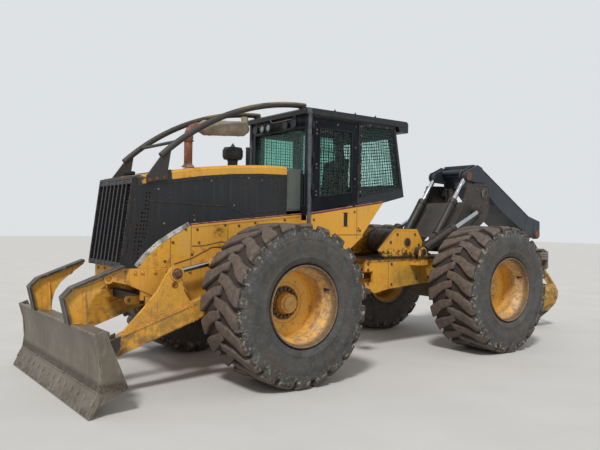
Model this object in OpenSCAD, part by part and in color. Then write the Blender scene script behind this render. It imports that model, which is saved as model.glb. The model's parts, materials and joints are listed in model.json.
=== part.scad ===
// Grapple skidder: a four-wheel log hauler that steers at a hinge in its middle.
// x runs forward, y to the left and z up, in millimetres. The steering hinge is at x = 0
// while the pieces are drawn, and machine() then centres the whole along x.

/* [Wheels] */
// Distance between the two axles
wheelbase = 3500; // [3450:10:3560]
// Radius over the tips of the tyre lugs
tyre_r = 865; // [850:5:875]
// Width of a tyre over its sidewalls
tyre_w = 775; // [740:5:785]
// Distance from the centre plane to a tyre's outer face
tyre_out = 1555; // [1550:5:1620]
// Height of the lugs over the casing
lug_h = 52; // [40:1:60]
// Width of a lug
lug_w = 64; // [50:1:75]
// Lugs on each half of a tyre
lug_count = 22; // [18:1:24]
// Radius of the rim's outer flange
flange_r = 430; // [420:1:440]
// Distance from the tyre's outer face in to the wheel disc
disc_in = 420; // [400:5:440]
// Radius of the circle that the wheel nuts stand on
nut_circle_r = 152; // [148:1:170]
// Wheel nuts
nut_count = 18; // [12:1:20]

/* [Axles] */
// Radius of an axle's tube
axle_tube_r = 135; // [120:1:145]
// Radius of the ball round the differential
diff_r = 235; // [220:1:240]
// Radius of the final drive at an axle's end
final_r = 215; // [200:1:220]

/* [Front frame] */
// Half width over the frame's side plates
frame_y = 500; // [495:1:510]
// Thickness of the side plates
frame_t = 40; // [30:1:50]
// Height of the frame's upper edge
frame_top = 1235; // [1225:1:1240]
// Front end of the frame
nose_x = 3240; // [3220:5:3250]
// Rear end of the frame's box, before the hinge tongues
front_box_x = 520; // [500:5:560]
// Half width of the hinge tongues
tongue_y = 190; // [170:1:210]
// Radius of the hinge pin
hinge_r = 60; // [50:1:70]
// Half length of the beam below the nose
beam_y = 560; // [540:5:565]
// Distance of a tow eye from the centre plane
tow_y = 380; // [360:5:400]
// Radius of a tow eye's hole
tow_r = 25; // [20:1:30]

/* [Blade] */
// Half width of the blade
blade_y = 1293; // [1250:1:1320]
// Height of the cutting edge over the ground
blade_low = 6; // [4:1:20]
// Height of the blade's upper edge
blade_top = 725; // [700:5:740]
// Thickness of the blade's plate
blade_t = 30; // [24:1:36]
// Radius of the hollow of the blade's front
blade_hollow_r = 900; // [850:10:1000]
// Height of the cutting edge's strip
edge_h = 205; // [180:5:220]

/* [Blade arms] */
// Inner side of an arm
arm_in = 650; // [645:1:655]
// Width of an arm
arm_w = 100; // [90:1:105]
// Depth of an arm's beam
arm_d = 192; // [170:1:200]
// Pivot of the arms on the frame: distance ahead of the steering hinge
arm_x = 2050; // [2040:5:2070]
// Height of that pivot
arm_z = 980; // [975:1:990]
// Pin of the lift cylinders on the arms: distance ahead of the steering hinge
lift_x = 2820; // [2800:5:2840]
// Height of that pin
lift_z = 1186; // [1180:1:1195]

/* [Blade horns] */
// Middle plane of a horn
horn_y = 585; // [580:1:600]
// Thickness of a horn's plate
horn_t = 40; // [30:1:45]
// Width of the strip along a horn's upper edge
horn_strip = 110; // [90:1:120]

/* [Hood] */
// Half width of the hood
hood_y = 489; // [480:1:492]
// Thickness of the hood's sheets
sheet_t = 12; // [8:1:16]
// Height of the hood at its front
hood_front_z = 2185; // [2170:5:2200]
// Height of the hood at its rear
hood_rear_z = 2405; // [2390:5:2415]
// Rear end of the hood
hood_rear_x = 1270; // [1250:5:1290]
// Depth of the hood's upper flange
hood_flange = 100; // [80:1:120]
// Foot of the grille ahead of the steering hinge
grille_x = 3326; // [3310:1:3340]
// Lean of the grille, in degrees
grille_lean = 7.4; // [6:0.1:8]
// Upright ribs of the grille
rib_count = 7; // [5:1:9]
// Rows of bent bars between two ribs
mesh_rows = 22; // [16:1:26]

/* [Cab] */
// Half width of the cab
cab_y = 630; // [620:1:640]
// Front of the cab
cab_front_x = 1050; // [1040:5:1060]
// Thickness of the cab's walls and doors
wall_t = 36; // [30:1:40]
// Underside of the roof
roof_z = 3040; // [3030:5:3060]
// Thickness of the roof
roof_t = 80; // [60:1:90]
// Front of a door
door_front_x = 985; // [975:1:990]
// Rear of a door
door_rear_x = 255; // [250:1:270]
// Room round a door in its frame
door_gap = 6; // [5.5:0.5:8]
// Width of a door's own frame
door_frame = 105; // [90:1:115]
// Spacing of the wires of the window guards
wire_step = 75; // [65:1:90]
// Thickness of those wires
wire_t = 8; // [6:1:10]

/* [Brush guard] */
// Middle plane of a guard bar
guard_y = 505; // [495:1:520]
// Radius of a guard bar
guard_bar_r = 34; // [28:1:38]
// Radius of the bend of a guard bar
guard_bend_r = 2805; // [2790:5:2820]

/* [Exhaust and air] */
// Middle of the muffler to the left of the centre plane
muffler_y = 350; // [330:1:360]
// Radius of the muffler
muffler_r = 86; // [80:1:90]
// Radius of the exhaust pipe
pipe_r = 46; // [38:1:52]
// Radius of the air pre-cleaner
bowl_r = 120; // [110:1:130]

/* [Rear frame] */
// Half width over the rear frame's side plates
rear_y = 450; // [440:1:460]
// Height of the rear frame's deck
deck_z = 1270; // [1260:1:1275]
// Rear end of the rear frame
rear_end_x = -2420; // [-2440:5:-2400]
// Radius of the drawbar's pin hole
drawbar_r = 26; // [20:1:30]
// Half width over the plates of the winch tower
tower_y = 420; // [410:1:430]
// Radius of the winch drum's barrel
drum_r = 130; // [110:1:150]

/* [Arch] */
// Pivot of the arch behind the steering hinge
arch_x = -1850; // [-1860:5:-1840]
// Height of that pivot
arch_z = 1400; // [1395:1:1410]
// Outer side of the arch's plates
arch_y = 440; // [438:1:445]
// Thickness of the arch's plates
arch_t = 50; // [40:1:55]
// Radius of the fairlead rollers
roller_r = 58; // [50:1:60]

/* [Boom] */
// Pivot of the boom on the arch, behind the steering hinge
boom_x = -2600; // [-2610:5:-2590]
// Height of that pivot
boom_z = 2230; // [2225:1:2235]
// Half width of the boom
boom_y = 300; // [290:1:310]
// Thickness of the boom's plates
boom_t = 25; // [20:1:30]
// Pin of the boom cylinders on the boom's ears
ear_x = -2290; // [-2300:5:-2280]
// Height of that pin
ear_z = 2502; // [2495:1:2510]

/* [Cylinders] */
// Radius of the blade's lift cylinders
lift_barrel_r = 50; // [45:1:55]
// Radius of the arch's and the boom's cylinders
arch_barrel_r = 62; // [55:1:65]
// Radius of the steering cylinders
steer_barrel_r = 45; // [40:1:50]
// Radius of a piston rod, as a share of its cylinder's radius
rod_share = 0.56; // [0.5:0.01:0.6]
// Room between a cylinder's bore and its piston rod
rod_gap = 0.4; // [0.3:0.1:1]

/* [Grapple] */
// Pin of the grapple at the boom's end, behind the steering hinge
tip_x = -4240; // [-4250:5:-4235]
// Height of that pin
tip_z = 1590; // [1585:1:1600]
// Height of the pivots of the tongs
tong_z = 1030; // [1025:1:1035]
// Distance of a tong's pivot from the centre plane
tong_y = 240; // [236:1:244]
// Width of a tong along the machine
tong_w = 380; // [350:5:385]
// Thickness of a tong's side plates
tong_t = 40; // [30:1:50]

/* [Hidden] */
$fn = 48;

// Room between two pieces that touch, and between a pin and its bore
seat = 0.3;
pin_gap = 0.3;

axle_z = tyre_r;
front_x = wheelbase / 2;
rear_x = -wheelbase / 2;
wheel_mid = tyre_out - tyre_w / 2;
casing_r = tyre_r - lug_h;
bead_r = flange_r - 28;
disc_y = tyre_out - disc_in;
disc_t = 28;
hub_r = 104;
hub_len = 95;

frame_low = 865;
axle_room_z = axle_z + axle_tube_r + 90;

edge_x = 3920;
horn_front_x = 3948;
head_plate_x = 205;
head_plate_t = 30;
tong_pin_x = head_plate_x + head_plate_t + 5;
frame_x = -(horn_front_x + tip_x - tong_pin_x) / 2;

arm_out = arm_in + arm_w;
arm_slope = 18.93;
lift_base = [1750, 1390];
lift_y = 612;
back_top = [3740, 600];
back_mid = [3660, 420];
back_low = [3680, 230];

stripe_front = [2560, 1677];
stripe_post = [cab_front_x, 1824];
stripe_end = [-200, 2010];
skirt_z = 1585;
cab_rear_top_x = -410;
cab_rear_low = [-590, 2102];

arch_base = [-1015, 1345];
arch_eye = [-2330, 1964];
arch_cyl_y = 552;
boom_base = [-1570, 1510];
boom_cyl_y = 310;
ear_gap = 40;
ear_t = 24;
steer_base = [720, 330];
steer_eye = [-250, 200];
steer_z = 1015;
winch_c = [-880, 1480];
cross_z = tip_z - 95;
swivel_low = tip_z - 220;
swivel_h = 60;
lever_l = 100;
lever_a = 15.5;
lever = lever_l * [sin(lever_a), cos(lever_a)];
tong_cyl_r = 36;

// Helpers

// Moves what is drawn round the steering hinge to the middle of the whole machine
module machine() translate([frame_x, 0, 0]) children();

// Draws its children and their mirror image on the right
module both() {
  children();
  mirror([0, 1, 0]) children();
}

// Outline in x and z, made solid from y0 to y1
module side(y0, y1) translate([0, y1, 0]) rotate([90, 0, 0]) linear_extrude(y1 - y0) children();

// Outline in y and z, made solid from x0 to x1
module front(x0, x1) translate([x0, 0, 0]) rotate([90, 0, 90]) linear_extrude(x1 - x0) children();

// Round bar across the machine at p = [x, z], from y0 to y1
module bar_y(p, r, y0, y1) translate([p[0], y1, p[1]]) rotate([90, 0, 0]) cylinder(r = r, h = y1 - y0);

// Round bar along x at y and z, from x0 to x1
module bar_x(x0, x1, y, z, r) translate([x0, y, z]) rotate([0, 90, 0]) cylinder(r = r, h = x1 - x0);

// Box given by its two corners
module box(a, b) translate(a) cube(b - a);

// Direction in degrees from p to q, both [x, z]
function dir(p, q) = atan2(q[1] - p[1], q[0] - p[0]);

// Point at distance d from p towards q
function along(p, q, d) = p + d * (q - p) / norm(q - p);

// Places its children with their own x axis along p to q in the plane y
module aim(p, q, y) translate([p[0], y, p[1]]) rotate([0, -dir(p, q), 0]) children();

// Barrel of a cylinder: eye at the origin, body along x up to len, bored for its rod
module barrel(r, eye_w, len) {
  eye_r = r * 1.15;
  neck = r * 1.6;
  difference() {
    union() {
      translate([0, eye_w / 2, 0]) rotate([90, 0, 0]) cylinder(r = eye_r, h = eye_w);
      box([0, -eye_w * 0.42, -r * 0.8], [r * 1.8, eye_w * 0.42, r * 0.8]);
      translate([neck, 0, 0]) rotate([0, 90, 0]) cylinder(r = r, h = len - neck);
      translate([len - r * 1.1, 0, 0]) rotate([0, 90, 0]) cylinder(r = r * 1.12, h = r * 1.1);
      translate([neck, 0, 0]) rotate([0, 90, 0]) cylinder(r = r * 1.06, h = r * 0.8);
    }
    translate([eye_r * 2, 0, 0]) rotate([0, 90, 0]) cylinder(r = r * rod_share + rod_gap, h = len);
    translate([0, eye_w, 0]) rotate([90, 0, 0]) cylinder(r = eye_r * 0.5, h = 2 * eye_w);
  }
}

// Piston rod: eye at the origin, rod along x back to len
module piston_rod(r, eye_w, len) {
  rod_r = r * rod_share;
  eye_r = r * 1.05;
  translate([0, eye_w / 2, 0]) rotate([90, 0, 0]) cylinder(r = eye_r, h = eye_w);
  translate([eye_r * 0.7, 0, 0]) rotate([0, 90, 0]) cylinder(r = rod_r, h = len - eye_r * 0.7);
}

// Wheels

// Casing of a tyre, round the y axis, with its middle at the origin
module tyre_casing() {
  w = tyre_w / 2;
  half = [[bead_r, w - 75], [flange_r + 6, w - 75], [flange_r + 40, w - 24], [640, w], [735, w - 12],
          [casing_r - 22, w - 52], [casing_r, w - 210]];
  other = [for (i = [len(half) - 1:-1:0]) [half[i][0], -half[i][1]]];
  rotate([-90, 0, 0]) rotate_extrude($fn = 96) polygon(concat(half, other));
}

// Lugs of a tyre as bent bars. Columns: start and end across the tread, start and end
// round it, at the tread's radius
lug_parts = [[-45, 165, 0, 105], [150, 378, 98, 255]];

module lug_bars(turn) {
  for (i = [0:lug_count - 1]) for (part = lug_parts) {
    mid = (part[2] + part[3]) / 2;
    rotate([0, (i + turn) * 360 / lug_count + mid / tyre_r * 180 / PI, 0])
      lug_bar(part[0], part[1], part[2] - mid, part[3] - mid);
  }
}

// One straight part of a lug, standing on the casing at the top
module lug_bar(a0, a1, t0, t1) {
  reach = abs(t0) + lug_w / 2;
  top = sqrt(tyre_r * tyre_r - reach * reach);
  low = 728;
  translate([0, 0, low]) linear_extrude(top - low)
    polygon([[t0 - lug_w / 2, a0], [t0 + lug_w / 2, a0], [t1 + lug_w / 2, a1], [t1 - lug_w / 2, a1]]);
}

// Whole tyre with its middle at the origin
module tyre() {
  color("#3a3735") {
    tyre_casing();
    lug_bars(0);
    mirror([0, 1, 0]) lug_bars(0.5);
  }
}

// Rim, disc and hub of a wheel: its middle at the origin and its outer side towards +y
module rim() {
  w = tyre_w / 2;
  lip = w - 30;
  well = bead_r - 38;
  t = 14;
  d = disc_y - wheel_mid;
  color("#c98f2e") {
    rotate([-90, 0, 0]) rotate_extrude($fn = 96)
      polygon([[flange_r, lip - 45], [flange_r, lip], [flange_r - 14, lip], [flange_r - 20, lip - 40],
               [bead_r - seat - t, w - 130], [well - t, w - 200], [well - t, -w + 130],
               [bead_r - seat - t, -w + 60], [flange_r - 14, -lip], [flange_r, -lip], [flange_r, -lip + 45],
               [bead_r - seat, -w + 75 - seat], [bead_r - seat, -w + 150], [well, -w + 190],
               [well, w - 215], [bead_r - seat, w - 160], [bead_r - seat, w - 75 + seat]]);
    rotate([-90, 0, 0]) rotate_extrude($fn = 96)
      polygon([[0, d - disc_t], [well - t / 2, d - disc_t], [well - t / 2, d - disc_t + 60],
               [well - 60, d + 30], [225, d + 12], [215, d], [hub_r + 14, d], [hub_r, d + hub_len],
               [hub_r - 18, d + hub_len + 12], [0, d + hub_len + 12]]);
    for (i = [0:nut_count - 1]) rotate([0, i * 360 / nut_count, 0])
      translate([0, d + 30, nut_circle_r]) rotate([90, 0, 0]) cylinder(r = 19, h = 32, $fn = 6);
  }
}

// Puts a wheel's piece on the axle at x, on side s, 1 left or -1 right
module wheel_at(x, s) translate([x, s * wheel_mid, axle_z]) scale_side(s) children();

// Mirrors its children for the right side
module scale_side(s) {
  if (s > 0) children();
  else mirror([0, 1, 0]) children();
}

// Axle housing from hub to hub with its differential
module axle(x) {
  end_y = disc_y - disc_t - seat;
  bar_y([x, axle_z], axle_tube_r, -end_y + 40, end_y - 40);
  translate([x, 0, axle_z]) rotate([90, 0, 0]) rotate_extrude()
    polygon([[0, -320], [axle_tube_r, -320], [diff_r * 0.8, -200], [diff_r, -90], [diff_r, 90],
             [diff_r * 0.8, 200], [axle_tube_r, 320], [0, 320]]);
  both() {
    translate([x, end_y, axle_z]) rotate([90, 0, 0]) rotate_extrude()
      polygon([[0, 0], [final_r, 0], [final_r, 120], [final_r * 0.8, 250], [axle_tube_r + 12, 290],
               [axle_tube_r + 12, 330], [0, 330]]);
  }
}

trunnion_r = 90;

module front_axle() {
  color("#4a4640") {
    axle(front_x);
    bar_x(front_x - 310, front_x + 310, 0, axle_z, trunnion_r);
  }
}

module rear_axle() {
  color("#4a4640") {
    axle(rear_x);
  }
}

// Front frame

// Outline of a front side plate in x and z
module front_plate_outline() {
  polygon([[nose_x, frame_top], [nose_x, 1065], [nose_x - 420, 870], [2380, frame_low], [1985, frame_low],
            [1985, axle_room_z], [1515, axle_room_z], [1515, frame_low],
           [front_box_x, frame_low - 40], [front_box_x, frame_top]]);
}

module front_frame() {
  inner = frame_y - frame_t;
  color("#d29a2a") {
    difference() {
      union() {
        both() side(inner, frame_y) front_plate_outline();
        // nose, floor and the plates across
        box([nose_x - 40, -inner, 1065], [nose_x, inner, frame_top]);
        box([2020, -inner, frame_low], [nose_x - 420, inner, frame_low + 20]);
        box([front_box_x, -inner, frame_low - 40], [front_box_x + 50, inner, frame_top]);
        for (x = [front_x - 300, front_x + 260]) front(x, x + 40) trunnion_plate(inner);
        // tongues of the steering hinge
        for (z = [[frame_low - 40, 60], [frame_top - 60, 60]]) hinge_tongue(z[0], z[1]);
        beam_below_nose();
        both() side(tow_y - 20, tow_y + 20) translate([tow_x, tow_z]) {
          circle(r = 45);
          translate([-125, -45]) square([125, 90]);
        }
        both() arm_pivot_boss();
        both() lift_base_ears();
        both() steer_base_ears();
      }
      translate([0, 0, frame_low - 100]) cylinder(r = hinge_r + pin_gap, h = 600);
      bar_x(front_x - 320, front_x + 320, 0, axle_z, trunnion_r + pin_gap);
      bar_y([tow_x, tow_z], tow_r, -500, 500);
      // ways for the steering cylinders
      both() box([front_box_x - 10, 195, steer_z - 75], [front_box_x + 60, 420, steer_z + 75]);
    }
  }
}

// Plate across the frame that the axle's trunnion turns in
module trunnion_plate(inner) {
  polygon([[-inner, axle_z + 220], [inner, axle_z + 220], [inner, frame_low], [220, axle_z - 140],
           [-220, axle_z - 140], [-inner, frame_low]]);
}

// Tongue that carries the steering hinge, from the box back to the hinge
module hinge_tongue(z, t) {
  translate([0, 0, z]) linear_extrude(t) {
    translate([0, -tongue_y]) square([front_box_x + 20, 2 * tongue_y]);
    circle(r = tongue_y, $fn = 64);
  }
}

tow_x = nose_x - 50;
tow_z = 897;

// Square beam across the machine below the nose, on two brackets
module beam_below_nose() {
  beam_x = nose_x - 220;
  box([beam_x - 50, -beam_y, 852], [beam_x + 50, beam_y, 942]);
  both() side(frame_y - frame_t, frame_y)
    polygon([[beam_x - 90, 900], [beam_x + 90, 900], [beam_x + 90, 1060], [beam_x - 90, 1000]]);
}

// Boss and pin that a blade arm turns on
module arm_pivot_boss() {
  bar_y([arm_x, arm_z], 105, frame_y - seat, arm_in - 6);
  bar_y([arm_x, arm_z], 45, frame_y - seat, arm_out + 4);
}

// Two ears that hold the base of a lift cylinder
module lift_base_ears() {
  x = lift_base[0];
  bar_y(lift_base, lift_barrel_r * 0.575 - pin_gap, lift_y - 67, lift_y + 67);
  for (y = [[lift_y - 69, 24], [lift_y + 45, 24]]) side(y[0], y[0] + y[1]) {
    translate([x, lift_base[1]]) circle(r = 62);
    polygon([[x - 62, lift_base[1]], [x + 55, lift_base[1] - 30], [x + 70, 1150], [x - 130, 1150]]);
  }
  box([x - 130, frame_y - frame_t, 1150], [x + 70, lift_y + 69, 1200]);
}

// Shelves that hold the base of a steering cylinder
module steer_base_ears() {
  for (z = [steer_z - 70, steer_z + 46]) translate([0, 0, z]) linear_extrude(24) {
    translate([steer_base[0] - 60, steer_base[1]]) square([120, frame_y - 20 - steer_base[1]]);
    translate(steer_base) circle(r = 60);
  }
  translate([steer_base[0], steer_base[1], steer_z - 70])
    cylinder(r = steer_barrel_r * 0.575 - pin_gap, h = 140);
}

// Engine, radiator and hood

module engine_block() {
  color("#3c3b39") {
    box([1500, -300, 1190], [2850, 300, 2000]);
    box([1250, -200, 1190], [1500, 200, 1750]);
    both() box([1700, 300, 1210], [1860, frame_y - frame_t - seat, 1290]);
    both() box([2600, 300, 1210], [2760, frame_y - frame_t - seat, 1290]);
  }
}

module radiator() {
  color("#2c2b29") box([2980, -hood_y + sheet_t + 3, frame_top + seat], [3100, hood_y - sheet_t - 3, 2040]);
}

// Draws its children in the grille's own plane: x across the machine, y up the grille
module on_grille() {
  translate([grille_x - 40, 0, frame_top + seat]) rotate([0, -grille_lean, 0]) rotate([90, 0, 90]) children();
}

grille_h = 950;
grille_half = hood_y - 6;

module grille() {
  bar = 26;
  pitch = 2 * (grille_half - 40) / (rib_count + 1);
  row = (grille_h - 150) / mesh_rows;
  color("#2e2c2a") on_grille() {
    linear_extrude(40) difference() {
      translate([-grille_half, 0]) square([2 * grille_half, grille_h]);
      translate([-grille_half + 40, 55]) square([2 * grille_half - 80, grille_h - 135]);
    }
    for (i = [1:rib_count]) translate([-grille_half + 40 + i * pitch - bar / 2, 40, 0])
      cube([bar, grille_h - 100, 44]);
    translate([-grille_half + 20, 60, 8]) mesh(pitch, row);
  }
}

// Rows of bars bent to a point between two ribs
module mesh(pitch, row) {
  t = 9;
  for (j = [0:mesh_rows - 1]) translate([0, j * row, 0]) linear_extrude(10)
    polygon(concat([for (i = [0:2 * rib_count + 2]) [20 + i * pitch / 2, (i % 2) * row * 0.7]],
                   [for (i = [2 * rib_count + 2:-1:0]) [20 + i * pitch / 2, t + (i % 2) * row * 0.7]]));
}

// Upper edge of the hood's side at x
function hood_z(x) = hood_rear_z + (hood_front_z - hood_rear_z) * (x - hood_rear_x) / (grille_top_x - hood_rear_x)
                     + hood_bulge * (x - hood_rear_x) * (grille_top_x - x) / 1e6;
hood_bulge = 60;
grille_top_x = grille_x - grille_h * sin(grille_lean);

// Points of the hood's upper edge from rear to front, and its height at x between them
hood_front_x = grille_top_x - 40 - 2 * seat;
hood_line = [for (i = [0:5]) let (x = hood_rear_x + i * (hood_front_x - hood_rear_x) / 5) [x, hood_z(x)]];
function hood_at(x) = lookup(x, hood_line);

// Arc that bounds the lower body at the front, from the stripe down to the frame
arc_points = [stripe_front, [2910, 1475], [3060, 1345], [3150, frame_top]];

module hood_sides() {
  low = frame_top + seat;
  foot = grille_x - 40 - seat / cos(grille_lean);
  top = hood_line[5][1] - hood_flange;
  color("#26272a") difference() {
    both() side(hood_y - sheet_t, hood_y)
      polygon(concat([[foot, low], [foot - (top - low) * tan(grille_lean), top - seat]],
                     [for (i = [5:-1:0]) hood_line[i] - [0, hood_flange + seat]],
                     [[hood_rear_x, stripe_z(hood_rear_x)], stripe_front, arc_points[1], arc_points[2], [3150, low]]));
    vent_holes();
  }
}

// Height of the stripe at x
function stripe_z(x) = stripe_front[1] + (stripe_front[0] - x) * (stripe_post[1] - stripe_front[1])
                       / (stripe_front[0] - stripe_post[0]);

// Columns of round vents behind the grille. Columns: distance ahead of the hinge, lowest row, rows
vent_columns = [[3190, 2, 8], [3150, 1, 12], [3110, 4, 14], [3070, 6, 12]];

module vent_holes() {
  pitch = 42;
  for (c = vent_columns) for (i = [0:c[2] - 1]) translate([c[0] - i * 4, 0, 1300 + (c[1] + i) * pitch])
    rotate([90, 0, 0]) cylinder(r = 13, h = 1200, center = true, $fn = 6);
}

module hood_top() {
  color("#d9a02e") difference() {
    hood_block(0, 0);
    hood_block(sheet_t, 20);
  }
}

// Width of the slanted edge between the hood's top and its flange
hood_edge = 32;

// Solid under the hood's upper edge, sunk by t and longer by over all round
module hood_block(t, over) {
  line = concat([hood_line[0] + [-over, over * 0.05]], hood_line, [hood_line[5] - [-over, over * 0.2]]);
  upper = [for (p = line) p - [0, t]];
  lower = [for (i = [len(line) - 1:-1:0]) line[i] - [0, hood_flange + over]];
  difference() {
    side(-hood_y + t, hood_y - t) polygon(concat(upper, lower));
    both() for (i = [0:4])
      hood_corner(hood_line[i] - [0, t], hood_line[i + 1] - [0, t], hood_y - t, hood_edge - t * 0.586);
  }
}

// What the slanted edge leaves out above the line a to b, for a corner at y and an edge of width c
module hood_corner(a, b, y, c) {
  long = 2 * norm(b - a);
  translate([a[0], 0, a[1]]) rotate([0, -dir(a, b), 0]) front(-long, long)
    polygon([[y - c - 20, 20], [y + 20, -c - 20], [y + 90, -c], [y, 90]]);
}

// Lower body: yellow side sheets below the stripe and the tub under the cab
module lower_body() {
  low = frame_top + seat;
  tub = cab_y - wall_t;
  color("#d9a02e") {
    difference() {
      union() {
        both() side(hood_y - sheet_t, hood_y + 8)
          polygon([[3150 - seat, low], arc_points[2] - [0, seat], arc_points[1] - [0, seat], stripe_front - [0, seat],
                   stripe_post - [-seat, seat], [cab_front_x + seat, low]]);
        both() side(tub, cab_y)
          polygon([stripe_post - [0, seat], stripe_end - [0, seat], [160, skirt_z], [480, skirt_z - 240],
                   [cab_front_x, skirt_z - 240]]);
        box([cab_front_x - wall_t, -tub, skirt_z - 240], [cab_front_x, tub, 1760]);
        box([140, -tub, skirt_z], [cab_front_x - wall_t, tub, skirt_z + 30]);
        side(-tub, tub) polygon([[160, skirt_z], stripe_end - [0, seat], [-155, cab_stripe_z(-155) - seat], [210, skirt_z]]);
        // feet of the tub on the frame
        both() box([front_box_x + 10, frame_y - frame_t, low], [front_box_x + 130, frame_y, skirt_z + 5]);
        both() box([cab_front_x - 130, frame_y - frame_t, low], [cab_front_x - 10, frame_y, skirt_z + 5]);
      }
      both() box([420, cab_y - 9, 1700], [480, cab_y + 9, 1860]);
    }
  }
}

// Cab

// Outline of the cab's side above the stripe
module cab_outline() {
  top = roof_z - seat;
  polygon([stripe_post, [cab_front_x, top], [cab_rear_top_x, top], cab_rear_low, stripe_end]);
}

// Height of the stripe along the cab at x
function cab_stripe_z(x) = stripe_post[1] + (stripe_post[0] - x) * (stripe_end[1] - stripe_post[1])
                           / (stripe_post[0] - stripe_end[0]);

// Outline of a door, grown by g, and by twice that below, where its slanted edge swings over the sill
module door_outline(g) {
  low = 45 - 2 * g;
  polygon([[door_front_x + g, cab_stripe_z(door_front_x) + low], [door_front_x + g, roof_z - 20 + g],
           [door_rear_x - g, roof_z - 20 + g], [door_rear_x - g, cab_stripe_z(door_rear_x) + low]]);
}

// Opening of the side window behind the door
module rear_side_outline() {
  polygon([[205, roof_z - 45], [-370, roof_z - 45], [-510, 2235], [205, 2100]]);
}

module cab_shell() {
  inner = cab_y - wall_t;
  color("#23262b") difference() {
    side(-cab_y, cab_y) cab_outline();
    // room inside, open below to the tub
    side(-inner, inner) polygon([[cab_front_x - wall_t, 1700], [cab_front_x - wall_t, roof_z],
                                 [cab_rear_top_x + wall_t, roof_z], [cab_rear_low[0] + wall_t + 20, 2150],
                                 [stripe_end[0] + 20, 2055], [-120, 1700]]);
    side(-cab_y - 5, cab_y + 5) door_outline(door_gap);
    side(-cab_y - 5, cab_y + 5) rear_side_outline();
    // windshield, with a firewall left behind the hood, and the rear window
    front(cab_front_x - 100, cab_front_x + 10) windshield_outline(0);
    front(-800, -300) polygon([[-500, roof_z - 140], [500, roof_z - 140], [500, 2260], [-500, 2260]]);
  }
  color("#23262b") both() for (z = hinge_heights) {
    box([door_front_x + 6, cab_y - 1, z + hinge_h + 1], [door_front_x + 40, cab_y + 10, z + 1.7 * hinge_h]);
    hinge_c(z + hinge_h + 1) cylinder(r = 12, h = 0.7 * hinge_h - 1, $fn = 24);
    hinge_c(z + 10) cylinder(r = 6, h = hinge_h, $fn = 24);
  }
  // grab pipes at the front corners
  pipe_foot = stripe_post[1] - 150;
  color("#23262b") both() {
    translate([cab_front_x + 8, cab_y + 24, pipe_foot]) cylinder(r = 22, h = roof_z - seat - pipe_foot);
    box([cab_front_x - 12, cab_y + seat, pipe_foot + 40], [cab_front_x + 20, cab_y + 20, pipe_foot + 70]);
    box([cab_front_x - 12, cab_y - 5, 2400], [cab_front_x + 20, cab_y + 20, 2430]);
  }
}

// Opening of the windshield, which reaches down beside the hood's end, grown by g
module windshield_outline(g) {
  out = 560 + g;
  in = 510 - g;
  top = roof_z - 150 + g;
  sill = 2330 - g;
  foot = 1930 - g;
  polygon([[-out, top], [out, top], [out, foot], [in, foot], [in, sill], [-in, sill], [-in, foot], [-out, foot]]);
}

// Door hinges: their heights, and the axis that they turn on
hinge_low = 2050;
hinge_top = roof_z - 240;
hinge_heights = [hinge_low, (hinge_low + hinge_top) / 2, hinge_top];
hinge_h = 90;

module hinge_c(z) translate([door_front_x + 10, cab_y + 14, z]) children();

module cab_roof() {
  color("#1f2125") {
    side(-cab_y - 25, cab_y + 25)
      polygon([[1140, roof_z], [1150, roof_z + roof_t - 30], [1090, roof_z + roof_t], [-600, roof_z + roof_t],
               [-630, roof_z + roof_t - 25], [-630, roof_z - 70], [-470, roof_z - 70], [-440, roof_z]]);
    // lamps below the front edge
    for (y = [-430, -250, 250, 430]) {
      box([1105, y - 10, roof_z - 60], [1115, y + 10, roof_z + 5]);
      translate([1085, y, roof_z - 95]) rotate([0, 90, 0]) cylinder(r1 = 38, r2 = 52, h = 60);
    }
  }
}

module cab_glass() {
  t = 6;
  mid = cab_y - wall_t / 2;
  color("#9fc4bd") {
    both() side(mid - t / 2, mid + t / 2) offset(delta = -seat) rear_side_outline();
    front(cab_front_x - wall_t - seat - t, cab_front_x - wall_t - seat) windshield_outline(15);
  }
}

// Grid of wires over an outline in x and z, between two corners
module wire_grid(x0, x1, z0, z1) {
  nx = floor((x1 - x0) / wire_step);
  nz = floor((z1 - z0) / wire_step);
  for (i = [0:nx]) translate([x0 + i * (x1 - x0) / nx - wire_t / 2, z0]) square([wire_t, z1 - z0]);
  for (i = [0:nz]) translate([x0, z0 + i * (z1 - z0) / nz - wire_t / 2]) square([x1 - x0, wire_t]);
}

module window_guards() {
  color("#1c1d1f") {
    both() side(cab_y + seat, cab_y + seat + 10) intersection() {
      union() {
        wire_grid(-560, 225, 2080, roof_z - 20);
        difference() {
          offset(delta = 22) rear_side_outline();
          offset(delta = -6) rear_side_outline();
        }
      }
      offset(delta = 22) rear_side_outline();
    }
  }
}

module seat() {
  color("#2b2c2e") {
    box([230, -190, skirt_z + 30 + seat], [560, 190, 1830]);
    hull() for (x = [190, 640]) for (y = [-210, 210]) translate([x, y, 1830]) cylinder(r = 45, h = 130, $fn = 24);
    hull() for (y = [-200, 200]) {
      translate([170, y, 1900]) cylinder(r = 55, h = 60, $fn = 24);
      translate([60, y, 2560]) cylinder(r = 50, h = 60, $fn = 24);
    }
  }
}

module controls() {
  color("#303133") {
    side(-400, 400) polygon([[cab_front_x - wall_t - seat, 1760], [cab_front_x - wall_t - seat, 2290], [900, 2270],
                             [860, 2050], [930, 1760]]);
    both() box([260, 330, skirt_z + 30 + seat], [690, 450, 2080]);
    both() translate([560, 390, 2080]) cylinder(r = 14, h = 190);
    both() translate([560, 390, 2260]) sphere(r = 32);
    translate([830, 0, 2120]) rotate([0, -35, 0]) {
      rotate_extrude() translate([170, 0]) circle(r = 16, $fn = 24);
      cylinder(r = 30, h = 20, center = true);
      for (a = [0, 120, 240]) rotate([0, 0, a]) box([0, -14, -5], [165, 14, 5]);
    }
    translate([830, 0, 2120]) rotate([0, -35, 0]) translate([0, 0, -120]) cylinder(r = 24, h = 120);
  }
}

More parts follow.
